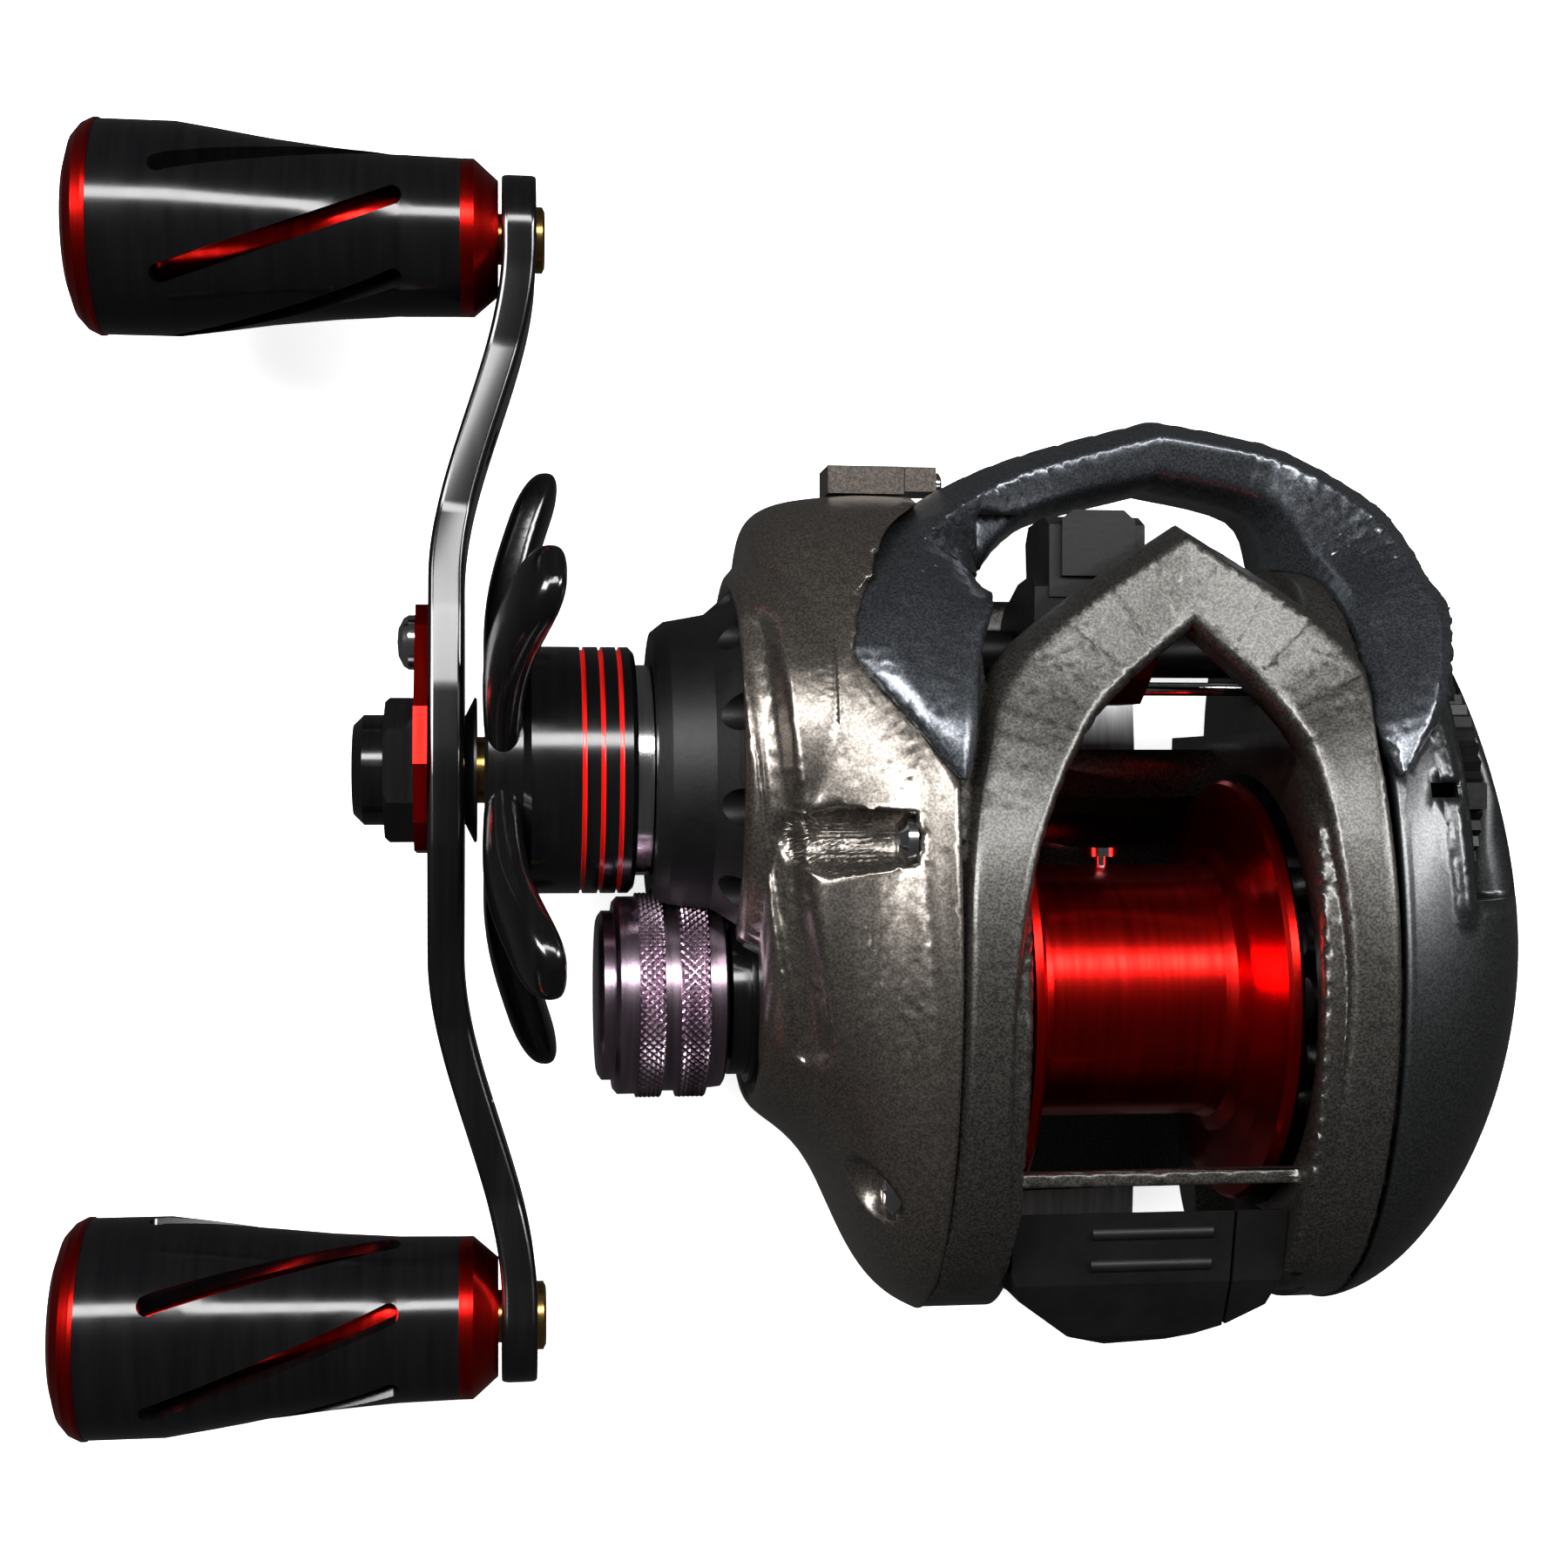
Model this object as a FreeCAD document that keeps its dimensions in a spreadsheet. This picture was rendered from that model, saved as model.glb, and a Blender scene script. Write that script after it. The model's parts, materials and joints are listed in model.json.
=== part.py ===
import FreeCAD, Part
import math
import os
import Sketcher

# A left-hand low-profile baitcasting reel.
# +X runs along the spool axis away from the handle, +Y points up the rod, +Z away from the rod.
# The origin is the seat face under the foot, straight below the middle of the spool.

SIZES = {
    # shafts
    "spool_z": 20.0,
    "drive_y": 17.6,
    "drive_z": 18.5,
    "worm_y": 27.1,
    "worm_z": 17.0,
    # frame
    "wall_out": 16.5,
    "wall_pocket": 14.4,
    "wall_front": 13.4,
    "wall_gear": 11.2,
    "wall_palm": 10.5,
    "port_rad": 17.3,
    # spool
    "spool_left": -10.8,
    "spool_right": 9.9,
    "flange_rad": 16.8,
    "drum_rad": 10.0,
    "shaft_rad": 1.25,
    # brake dial
    "dial_y": 15.6,
    "dial_z": 24.4,
    # gears
    "mesh_start": -22.0,
    "mesh_end": -18.9,
    "wind_start": -16.3,
    "wind_end": -14.7,
    # spool tension control
    "tension_tip": -41.7,
    "tension_rad": 8.0,
    "tension_nose": 5.5,
    # drag boss and star
    "boss_tip": -37.4,
    "boss_rad": 11.7,
    "hub_rad": 9.7,
    "hub_in": -38.8,
    "star_in": -47.4,
    "star_out": -50.3,
    # handle
    "drive_rad": 2.6,
    "arm_in": -51.9,
    "arm_out": -54.6,
    "arm_offset": 5.6,
    "arm_reach": 42.3,
    "knob_ahead": 42.22,
    "knob_drop": 2.58,
    "nut_flats": 9.8,
    # knobs
    "knob_tip": -82.4,
    "knob_cap": -79.8,
    "knob_neck": -52.2,
    "knob_in": -49.25,
    "knob_wide": 8.2,
    "knob_thin": 6.15,
    "post_rad": 2.0,
    # foot
    "foot_front": 33.0,
    "foot_rear": -29.0,
    "foot_half": 6.75,
    "foot_thick": 2.1,
}

NOTES = {
    "spool_z": "height of the spool axis over the seat",
    "drive_y": "handle axis ahead of the spool axis",
    "port_rad": "opening the spool is lifted out through",
    "arm_reach": "handle axis to the middle of a knob",
    "knob_ahead": "the same as seen from above, with the handle stopped a little short of level",
    "knob_drop": "how far the front knob stands below the handle axis, and the rear one above it",
    "foot_half": "half the width of the foot",
}

doc = FreeCAD.newDocument("reel")
sheet = doc.addObject("Spreadsheet::Sheet", "Sheet")
for line, (alias, size) in enumerate(SIZES.items(), start=1):
    sheet.set("A%d" % line, alias.replace("_", " "))
    sheet.set("B%d" % line, str(size))
    sheet.setAlias("B%d" % line, alias)
    sheet.set("C%d" % line, NOTES.get(alias, ""))
doc.recompute()

NODES = []


def value(rule):
    """The number a sum such as 'boss_tip + 2.5' stands for."""
    total = 0.0
    sign = 1.0
    for word in str(rule).split():
        if word in "+-":
            sign = 1.0 if word == "+" else -1.0
        else:
            total += sign * (float(sheet.get(word)) if word in SIZES else float(word))
            sign = 1.0
    return total


def bound(rule):
    """The same sum as the spreadsheet expression that drives a property."""
    return " ".join("Sheet." + w if w in SIZES else w for w in str(rule).split())


def tie(thing, prop, rule):
    thing.setExpression(prop, bound(rule))


def place(thing, x="0", y="0", z="0"):
    for axis, rule in (("x", x), ("y", y), ("z", z)):
        tie(thing, "Placement.Base." + axis, rule)


def sketch_outline(body, plane, corners, name):
    """A closed outline on one of the body's own planes, every corner held by two dimensions."""
    sketch = body.newObject("Sketcher::SketchObject", name)
    role = plane + "_Plane"
    home = [f for f in body.Origin.OriginFeatures if f.Role == role][0]
    sketch.AttachmentSupport = [(home, "")]
    sketch.MapMode = "FlatFace"
    points = [FreeCAD.Vector(value(a), value(b), 0) for a, b in corners]
    count = len(points)
    for i in range(count):
        sketch.addGeometry(Part.LineSegment(points[i], points[(i + 1) % count]), False)
    for i in range(count):
        sketch.addConstraint(Sketcher.Constraint("Coincident", i, 2, (i + 1) % count, 1))
    for i, (a, b) in enumerate(corners):
        for kind, rule in (("DistanceX", a), ("DistanceY", b)):
            if str(rule) == "0":
                line = -2 if kind == "DistanceX" else -1
                sketch.addConstraint(Sketcher.Constraint("PointOnObject", i, 1, line))
                continue
            held = Sketcher.Constraint(kind, -1, 1, i, 1, value(rule))
            number = sketch.addConstraint(held)
            if any(w in SIZES for w in str(rule).split()):
                sketch.setExpression("Constraints[%d]" % number, bound(rule))
    return sketch


def turned(label, corners, y="0", z="0"):
    """A part turned about an axis along X; corners are (x, radius)."""
    body = doc.addObject("PartDesign::Body", label)
    sketch = sketch_outline(body, "XY", corners, label + "_profile")
    spin = body.newObject("PartDesign::Revolution", label + "_turn")
    spin.Profile = sketch
    spin.ReferenceAxis = (sketch, ["H_Axis"])
    spin.Angle = 360.0
    place(body, "0", y, z)
    return body


def ring(label, start, end, outer, inner, y="0", z="0"):
    return turned(label, [(start, inner), (end, inner), (end, outer), (start, outer)], y, z)


def rod(label, start, end, radius, y="0", z="0"):
    return turned(label, [(start, "0"), (end, "0"), (end, radius), (start, radius)], y, z)


def plate(label, corners, start, end):
    """An outline in Y and Z made solid from x = start to x = end."""
    body = doc.addObject("PartDesign::Body", label)
    sketch = sketch_outline(body, "YZ", corners, label + "_outline")
    pad = body.newObject("PartDesign::Pad", label + "_pad")
    pad.Profile = sketch
    pad.setExpression("Length", "(%s) - (%s)" % (bound(end), bound(start)))
    place(body, start, "0", "0")
    return body


def slab(label, corners, start, end):
    """An outline in X and Y made solid from z = start to z = end."""
    body = doc.addObject("PartDesign::Body", label)
    sketch = sketch_outline(body, "XY", corners, label + "_outline")
    pad = body.newObject("PartDesign::Pad", label + "_pad")
    pad.Profile = sketch
    pad.setExpression("Length", "(%s) - (%s)" % (bound(end), bound(start)))
    place(body, "0", "0", start)
    return body


def block(label, x, y, z):
    """A box given by its (low, high) along each axis."""
    box = doc.addObject("Part::Box", label)
    for prop, (low, high) in (("Length", x), ("Width", y), ("Height", z)):
        box.setExpression(prop, "(%s) - (%s)" % (bound(high), bound(low)))
    place(box, x[0], y[0], z[0])
    return box


def drilled(label, centre, radius, length, direction):
    """A plain cylinder from centre along direction."""
    pin = doc.addObject("Part::Cylinder", label)
    tie(pin, "Radius", radius)
    tie(pin, "Height", length)
    turn = FreeCAD.Rotation(FreeCAD.Vector(0, 0, 1), FreeCAD.Vector(*direction))
    pin.Placement = FreeCAD.Placement(FreeCAD.Vector(0, 0, 0), turn)
    place(pin, *centre)
    return pin


def shaped(label, solid):
    """A solid made by lofting or sweeping."""
    thing = doc.addObject("Part::Feature", label)
    thing.Shape = solid
    return thing


def joined(label, *things):
    fuse = doc.addObject("Part::MultiFuse", label)
    fuse.Shapes = list(things)
    fuse.Refine = True
    return fuse


def group(label, *things):
    bunch = doc.addObject("Part::Compound", label)
    bunch.Links = list(things)
    return bunch


def cut(label, base, *tools):
    tool = tools[0] if len(tools) == 1 else joined(label + "_tools", *tools)
    less = doc.addObject("Part::Cut", label)
    less.Base = base
    less.Tool = tool
    return less


def common(label, base, tool):
    both = doc.addObject("Part::Common", label)
    both.Base = base
    both.Tool = tool
    return both


def keep(label, thing):
    """Name a finished piece and mark it for export."""
    thing.Label = label
    NODES.append((label, thing))
    return thing


def wire(points):
    vectors = [FreeCAD.Vector(*p) for p in points]
    return Part.makePolygon(vectors + [vectors[0]])


def curve(points):
    spline = Part.BSplineCurve()
    spline.interpolate([FreeCAD.Vector(*p) for p in points], PeriodicFlag=True)
    return Part.Wire([spline.toShape()])


def loft(wires, straight=False):
    return Part.makeLoft(wires, True, straight)


# ---------------------------------------------------------------- body shells

# side outline of the body, rear to front over the top and back underneath,
# as fractions of its length and of its height
SIDE = [
    (0.000, 0.400), (0.012, 0.575), (0.060, 0.740), (0.150, 0.875), (0.275, 0.965),
    (0.415, 1.000), (0.545, 0.990), (0.675, 0.948), (0.800, 0.862), (0.905, 0.735),
    (0.975, 0.565), (1.000, 0.390), (0.978, 0.205), (0.905, 0.080), (0.790, 0.015),
    (0.550, 0.000), (0.270, 0.005), (0.130, 0.060), (0.045, 0.190),
]


def section(x, rear, front, low, high, trim=0.0):
    rear, front, low, high = rear + trim, front - trim, low + trim, high - trim
    return curve([(x, rear + u * (front - rear), low + w * (high - low)) for u, w in SIDE])


GEAR_STATIONS = [
    (-16.5, -25.3, 39.8, 0.4, 39.6),
    (-19.6, -23.2, 39.9, 0.4, 39.2),
    (-22.7, -17.8, 39.8, 0.7, 38.2),
    (-25.4, -12.8, 39.5, 1.1, 37.0),
    (-28.0, -10.4, 38.8, 1.7, 35.4),
    (-29.8, -8.2, 36.6, 3.6, 33.0),
]
PALM_STATIONS = [
    (16.5, -25.3, 36.0, 0.6, 39.6),
    (20.0, -23.9, 35.4, 0.8, 38.9),
    (23.5, -20.6, 32.6, 1.6, 37.4),
    (26.6, -15.4, 26.9, 3.4, 34.9),
    (28.6, -9.4, 20.4, 6.6, 31.8),
    (29.9, -3.2, 14.6, 10.4, 28.6),
    (31.0, 2.0, 8.6, 15.0, 24.6),
]


def shell(stations, trim, stop):
    """The loft through the stations, or its hollow when trimmed and stopped short."""
    wires = []
    for x, rear, front, low, high in stations[:stop]:
        wires.append(section(x, rear, front, low, high, trim))
    return loft(wires)


def hood_sections():
    """The front hood as an arch of six-sided sections from one tail round the nose to the other."""
    rows = [
        # outer x, outer y, inner x, inner y, top of the outer edge, crest, top of inner edge, underside
        (-16.6, 16.9, -15.9, 16.7, 38.0, 38.4, 38.2, 37.2),
        (-20.2, 21.6, -14.8, 20.6, 37.0, 37.9, 37.6, 35.4),
        (-24.0, 26.8, -13.9, 26.2, 33.4, 35.4, 34.6, 32.2),
        (-22.0, 32.4, -12.0, 30.4, 28.6, 31.4, 30.2, 26.4),
        (-18.4, 37.4, -10.6, 33.8, 21.2, 25.6, 19.6, 12.0),
        (-8.8, 42.8, -5.7, 38.0, 15.6, 19.2, 17.4, 8.6),
        (4.7, 46.8, 4.4, 40.9, 14.4, 18.0, 16.8, 8.4),
        (15.0, 44.6, 12.6, 38.9, 15.6, 19.4, 17.4, 8.6),
        (22.0, 39.2, 14.4, 34.4, 20.6, 25.4, 19.8, 9.0),
        (24.2, 33.0, 15.0, 30.8, 25.4, 30.2, 28.6, 12.0),
        (24.6, 29.6, 15.4, 26.8, 29.2, 32.8, 32.4, 19.0),
        (21.4, 22.8, 15.6, 21.0, 35.2, 36.9, 36.6, 31.6),
        (17.2, 17.4, 16.7, 17.0, 37.5, 38.0, 37.8, 36.9),
    ]
    wires = []
    for ox, oy, ix, iy, edge, crest, inner, under in arched(rows, 6, 5):
        cx, cy = ox + 0.30 * (ix - ox), oy + 0.30 * (iy - oy)
        bx, by = ox + 0.18 * (ix - ox), oy + 0.18 * (iy - oy)
        nx, ny = ox + 0.80 * (ix - ox), oy + 0.80 * (iy - oy)
        wires.append(wire([
            (ox, oy, edge), (cx, cy, crest), (nx, ny, inner + 0.25 * (crest - inner) + 0.2),
            (ix, iy, inner - 0.18 * (inner - under)), (ix, iy, under + 0.1 * (inner - under)),
            (bx, by, under),
        ]))
    return wires


def arch_sections():
    """The V-shaped arch: up one side wall, forward to the peak over the line guide and back."""
    rows = [
        # outer x, outer y, inner x, inner y, top, drop of the outer edge, thickness
        (-16.5, -25.2, -11.6, -24.8, 18.0, 0.4, 4.0),
        (-16.5, -22.6, -11.5, -22.4, 28.0, 0.6, 4.0),
        (-16.5, -16.4, -11.9, -16.4, 34.6, 0.7, 4.0),
        (-16.5, -7.6, -12.6, -7.6, 38.6, 0.8, 4.2),
        (-16.5, 2.0, -12.4, 2.0, 39.9, 0.8, 4.2),
        (-16.3, 10.4, -11.0, 10.0, 39.3, 0.9, 4.2),
        (-14.9, 18.4, -8.1, 17.2, 37.2, 1.1, 4.0),
        (-11.4, 26.8, -4.0, 22.8, 34.4, 1.4, 3.8),
        (2.4, 36.4, 2.8, 28.2, 31.8, 1.8, 3.6),
        (14.9, 27.3, 8.0, 22.7, 34.4, 1.4, 3.8),
        (16.0, 19.4, 10.5, 18.0, 37.2, 1.1, 4.0),
        (16.4, 10.6, 11.5, 10.4, 39.3, 0.9, 4.2),
        (16.5, 2.0, 12.1, 2.0, 39.9, 0.8, 4.2),
        (16.5, -7.6, 11.8, -7.6, 38.6, 0.8, 4.2),
        (16.5, -16.4, 11.8, -16.4, 34.6, 0.7, 4.0),
        (16.5, -22.6, 12.0, -22.4, 28.0, 0.6, 4.0),
        (16.5, -25.2, 12.3, -24.8, 18.0, 0.4, 4.0),
    ]
    wires = []
    for ox, oy, ix, iy, top, drop, thick in arched(rows, 8, 4):
        slope = 0.055 * (oy - iy)
        ax, ay = ox + 0.14 * (ix - ox), oy + 0.14 * (iy - oy)
        ex, ey = ox + 0.90 * (ix - ox), oy + 0.90 * (iy - oy)
        wires.append(wire([
            (ox, oy, top - drop - 1.0 - slope), (ax, ay, top - slope), (ex, ey, top + slope),
            (ix, iy, top - 0.5 + slope), (ix, iy, top - thick + slope), (ox, oy, top - thick - slope),
        ]))
    return wires


WALL = [
    (-24.9, 13.0), (-25.0, 19.5), (-23.4, 26.0), (-19.6, 31.6), (-13.0, 36.0), (-4.0, 38.6),
    (6.0, 38.8), (13.0, 37.4), (20.0, 34.8), (26.0, 31.6), (31.4, 26.2), (33.8, 19.0),
    (33.0, 10.0), (29.4, 4.6), (23.0, 1.6), (14.0, 0.9), (4.0, 0.8), (-6.0, 0.9), (-14.0, 1.6),
    (-20.4, 4.2), (-23.6, 8.2),
]


def wall(start, end, gap):
    """A side wall between two values of x, its outline pulled in by gap."""
    points = WALL if gap == 0 else inset(WALL, gap)
    outline = curve([(start, y, z) for y, z in points])
    return Part.Face(outline).extrude(FreeCAD.Vector(end - start, 0, 0))


def inset(points, gap):
    """The outline pulled in by roughly gap on every side."""
    mid_y = sum(p[0] for p in points) / len(points)
    mid_z = sum(p[1] for p in points) / len(points)
    small = []
    for y, z in points:
        reach = math.hypot(y - mid_y, z - mid_z)
        small.append((y - gap * (y - mid_y) / reach, z - gap * (z - mid_z) / reach))
    return small


def blend_rows(rows, steps):
    """More rows between the given ones, on a smooth curve through them."""
    full = []
    for i in range(len(rows) - 1):
        before, start = rows[max(i - 1, 0)], rows[i]
        end, after = rows[i + 1], rows[min(i + 2, len(rows) - 1)]
        for k in range(steps):
            t = k / steps
            full.append(tuple(
                0.5 * (2 * b + (c - a) * t + (2 * a - 5 * b + 4 * c - d) * t ** 2 + (3 * b - a - 3 * c + d) * t ** 3)
                for a, b, c, d in zip(before, start, end, after)
            ))
    return full + [rows[-1]]


def arched(rows, peak, steps):
    """Smooth rows on either side of the peak, which stays a crisp mitre."""
    return blend_rows(rows[:peak + 1], steps)[:-1] + blend_rows(rows[peak:], steps)


def main_frame():
    out = value("wall_out")
    left = shaped("left_wall", wall(-out, -value("wall_gear"), 0))
    pocket = shaped("left_pocket", wall(-out, -value("wall_pocket"), 1.3))
    front_left = block("left_bay", ("- wall_front", "- wall_gear + 1"), ("20.6", "40"), ("0", "40"))
    right = shaped("right_wall", wall(value("wall_palm"), out, 0))
    port = rod("spool_port", "wall_palm - 1", "wall_out + 1", "port_rad", z="spool_z")
    front_right = block("right_bay", ("wall_palm - 1", "wall_front"), ("20.6", "40"), ("0", "40"))
    arch = shaped("arch_loft", loft(arch_sections(), True))
    rear_bay = block("rear_bay", ("wall_palm - 1", "13.1"), ("-30", "-17.0"), ("8", "30"))
    front_bar = slab("front_bar", [("-13", "13.8"), ("12.6", "13.8"), ("12.6", "19.4"), ("-13", "19.4")], "9.6", "12.4")
    rear_bar = slab("rear_bar", [("-13", "-13.5"), ("12.6", "-13.5"), ("12.6", "-12.4"), ("-13", "-12.4")], "32.2", "33.6")
    belly = block("belly_bar", ("-13", "12.6"), ("-11", "-6.5"), ("foot_thick", "foot_thick + 1.8"))
    chest = block("chest_bar", ("-13", "12.6"), ("9.0", "13.4"), ("foot_thick", "foot_thick + 1.8"))
    floor_plate = block("floor_plate", ("-13", "12.6"), ("-17.5", "16"), ("foot_thick", "foot_thick + 1.1"))
    nose_bar = block("nose_bar", ("-14", "14"), ("28.6", "32.2"), ("3.4", "6.4"))
    holes = [
        rod("drive_hole", "- wall_out - 1", "- wall_gear - 0.9", "4.05", "drive_y", "drive_z"),
        rod("pinion_hole", "- wall_out - 1", "- wall_gear + 1", "3.6", z="spool_z"),
        rod("worm_hole", "- wall_out - 1", "wall_out + 1", "2.0", "worm_y", "worm_z"),
        rod("guide_hole", "-14.35", "wall_out - 0.8", "0.57", "24.2", "worm_z + 2.2"),
        rod("flange_room", "- wall_gear - 0.001", "wall_palm + 0.001", "port_rad", z="spool_z"),
        rod("port_room", "wall_palm - 1", "wall_out + 1", "port_rad", z="spool_z"),
        block("pin_room", ("11", "13.1"), ("-19.9", "-17.3"), ("19.8", "26.1")),
    ]
    walls = cut("walls", joined("wall_pair", left, right), pocket, front_left, port, front_right, rear_bay)
    whole = joined("frame_blank", walls, arch, front_bar, rear_bar, belly, chest, floor_plate, nose_bar)
    return keep("main_frame", cut("main_frame", whole, *holes))


def front_hood():
    blank = shaped("hood_blank", loft(hood_sections(), True))
    guide_path = block("guide_path", ("-11.4", "11.4"), ("20", "38.2"), ("18.1", "27.2"))
    guide_room = block("guide_room", ("-12.5", "12.5"), ("20", "33"), ("13.9", "27.2"))
    keeper_room = block("keeper_room", ("-26.4", "-14.2"), ("38.4", "46"), ("8", "17.3"))
    seat = frame_copy("hood_seat")
    return keep("front_hood", cut("front_hood", blank, seat, guide_path, guide_room, keeper_room))


def under_hood(cover):
    """The cover trimmed so that it never stands over the hood."""
    hood = node_shape("front_hood")
    for step in range(5):
        raised = hood.copy()
        raised.translate(FreeCAD.Vector(0, 0, 1.1 * step))
        cover = cover.cut(raised)
    return cover


def frame_copy(label):
    doc.recompute()
    return shaped(label, dict(NODES)["main_frame"].Shape.copy())


# where the two visible cover screws sit: x of the well's floor, y, z
COVER_SCREWS = [(-19.6, 12.4, 37.0), (-19.6, -13.6, 31.4)]


def spun(corners, y, z):
    """A solid turned about an axis along X, for use inside a longer boolean."""
    points = [(value(a), value(b), 0.0) for a, b in corners]
    solid = Part.Face(wire(points)).revolve(FreeCAD.Vector(0, 0, 0), FreeCAD.Vector(1, 0, 0), 360)
    solid.translate(FreeCAD.Vector(0, y, z))
    return solid


def node_shape(label):
    doc.recompute()
    return dict(NODES)[label].Shape.copy()


def biggest(shape):
    """The one real piece of a cut, without the crumbs a seam leaves."""
    return max(shape.Solids, key=lambda solid: solid.Volume)


def gear_side_cover():
    """Domed cover over the gears, with a round rim for the drag boss and a nest for the tension bush."""
    dy, dz, sz = value("drive_y"), value("drive_z"), value("spool_z")
    outer = shell(GEAR_STATIONS, 0.0, 6)
    hollow = shell([(-16.4,) + GEAR_STATIONS[0][1:]] + GEAR_STATIONS[1:], 1.3, 5)
    rim = spun([
        ("-31.4", "13.2"), ("-25", "13.2"), ("-25", "17.6"), ("-28.2", "17.6"), ("-30.9", "16.0"), ("-31.4", "15.4"),
    ], dy, dz)
    cover = outer.cut(hollow).fuse(rim.common(Part.makeBox(8, 37, 35, FreeCAD.Vector(-32, 0, 2))))
    cover = cover.fuse(spun([("-29.6", "5.2"), ("-26", "5.2"), ("-26", "7.4"), ("-29.6", "7.4")], 0, sz))
    for x, y, z in COVER_SCREWS:
        cover = cover.fuse(cylinder(-28.5, -16.5, 2.95, y, z).common(outer))
    cover = cover.cut(cylinder(-32, -29.35, 14.5, dy, dz)).cut(cylinder(-32, -24, 9.05, dy, dz))
    cover = cover.cut(cylinder(-33, -24, 5.95, 0, sz))
    cover = cover.cut(cylinder(-33, -29.2, 7.9, 0, sz)).cut(cylinder(-33, -29.6, 8.4, 0, sz))
    for x, y, z in COVER_SCREWS:
        cover = cover.cut(cylinder(-40, x, 2.4, y, z))
    cover = under_hood(cover).cut(node_shape("main_frame"))
    return keep("gear_side_cover", shaped("gear_side_cover", biggest(cover)))


def cover_screws():
    screws = []
    for i, (x, y, z) in enumerate(COVER_SCREWS):
        head = turned("screw_%d" % i, [
            (str(x), "0"), (str(x), "1.9"), (str(x - 0.7), "1.9"), (str(x - 1.3), "1.2"), (str(x - 1.3), "0"),
        ], str(y), str(z))
        slot = block("slot_%d" % i, (str(x - 1.5), str(x - 0.8)), (str(y - 1.3), str(y + 1.3)),
                     (str(z - 0.25), str(z + 0.25)))
        bar = block("bar_%d" % i, (str(x - 1.5), str(x - 0.8)), (str(y - 0.25), str(y + 0.25)),
                    (str(z - 1.3), str(z + 1.3)))
        screws.append(cut("screw_cut_%d" % i, head, slot, bar))
    return keep("cover_screws", group("cover_screws", *screws))


def drag_boss_cover():
    """Black cone round the handle axis that carries the one-way clutch."""
    cone = turned("cone", [
        ("-36.9", "7.05"), ("-25.6", "7.05"), ("-25.6", "9.0"), ("-29.4", "9.0"), ("-29.4", "14.35"),
        ("-30.9", "14.35"), ("-31.7", "13.6"), ("-33.2", "12.3"), ("-36.4", "boss_rad"),
        ("boss_tip", "10.9"), ("boss_tip", "5.4"), ("-36.9", "5.4"),
    ], "drive_y", "drive_z")
    nicks = []
    for i in range(12):
        turn = math.radians(30 * i + 12)
        y = 17.6 + 14.1 * math.cos(turn)
        z = 18.5 + 14.1 * math.sin(turn)
        nick = drilled("nick_%d" % i, ("-34.6", str(round(y, 3)), str(round(z, 3))), "1.5", "3.4", (1, 0, 0))
        nicks.append(nick)
    nest = rod("cone_nest", "-40", "-29.3", "8.3", z="spool_z")
    return keep("drag_boss_cover", cut("drag_boss_cover", cone, nest, *nicks))


def tension_bush():
    """Black threaded bush that the tension knob screws on to."""
    corners = [("-27.4", "4.05"), ("-27.4", "5.9"), ("-29.25", "5.9"), ("-29.25", "7.0"), ("-30.1", "7.0"),
               ("-30.1", "6.3"), ("-31.5", "6.3"), ("-31.5", "4.95")]
    for i in range(8):
        x = -31.9 - 0.75 * i
        corners += [(str(round(x, 3)), "tension_nose"), (str(round(x - 0.25, 3)), "tension_nose"),
                    (str(round(x - 0.45, 3)), "tension_nose - 0.4"), (str(round(x - 0.6, 3)), "tension_nose - 0.4")]
    corners += [("-38", "tension_nose"), ("-38.2", "tension_nose - 0.3"), ("-38.2", "4.05")]
    return keep("tension_bush", turned("tension_bush", corners, z="spool_z"))


def tension_knob():
    """Two-banded knurled cap; the knob turns on the bush."""
    corners = [
        ("tension_tip", "0"), ("tension_tip", "6.2"), ("tension_tip + 0.4", "6.6"), ("tension_tip + 1.2", "6.6"),
        ("tension_tip + 1.2", "7.3"), ("tension_tip + 1.6", "7.7"), ("tension_tip + 3.0", "7.7"),
        ("tension_tip + 3.0", "tension_rad - 0.1"), ("tension_tip + 3.1", "tension_rad"),
        ("tension_tip + 4.9", "tension_rad"), ("tension_tip + 5.0", "7.55"), ("tension_tip + 6.1", "7.55"),
        ("tension_tip + 6.2", "tension_rad"), ("tension_tip + 8.3", "tension_rad"),
        ("tension_tip + 8.4", "7.3"), ("tension_tip + 9.6", "7.2"), ("tension_tip + 9.8", "6.9"),
        ("tension_tip + 9.8", "5.56"), ("tension_tip + 2.4", "5.56"), ("tension_tip + 2.4", "0"),
    ]
    return keep("tension_knob", turned("tension_knob", corners, z="spool_z"))


def palm_side_cover():
    """Domed palm cover, scooped out over the brake dial's rim, with a slot for the cover release."""
    cover = shell(PALM_STATIONS, 0.0, 7)
    cover = cover.cut(shell([(16.4,) + PALM_STATIONS[0][1:]] + PALM_STATIONS[1:], 1.3, 6))
    y, z = value("dial_y"), value("dial_z")
    bed = cylinder(24.95, 34, 11.6, y, z).common(shell(PALM_STATIONS, 0.0, 7))
    cover = cover.fuse(bed).cut(cylinder(22.7, 24.95, 10.5, y, z)).cut(cylinder(22, 26.6, 1.52, y, z))
    scoop = [(22.7, 32.0), (24.95, 32.0), (31.0, 29.4), (36.0, 29.4), (36.0, 45.0), (22.7, 45.0)]
    scoop = Part.Face(wire([(x, 7.8, height) for x, height in scoop])).extrude(FreeCAD.Vector(0, 15.6, 0))
    cover = cover.cut(scoop)
    cover = cover.cut(Part.makeBox(2.5, 1.1, 10, FreeCAD.Vector(19.3, 15.5, 30)))
    cover = under_hood(cover).cut(node_shape("main_frame"))
    return keep("palm_side_cover", shaped("palm_side_cover", biggest(cover)))


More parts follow.
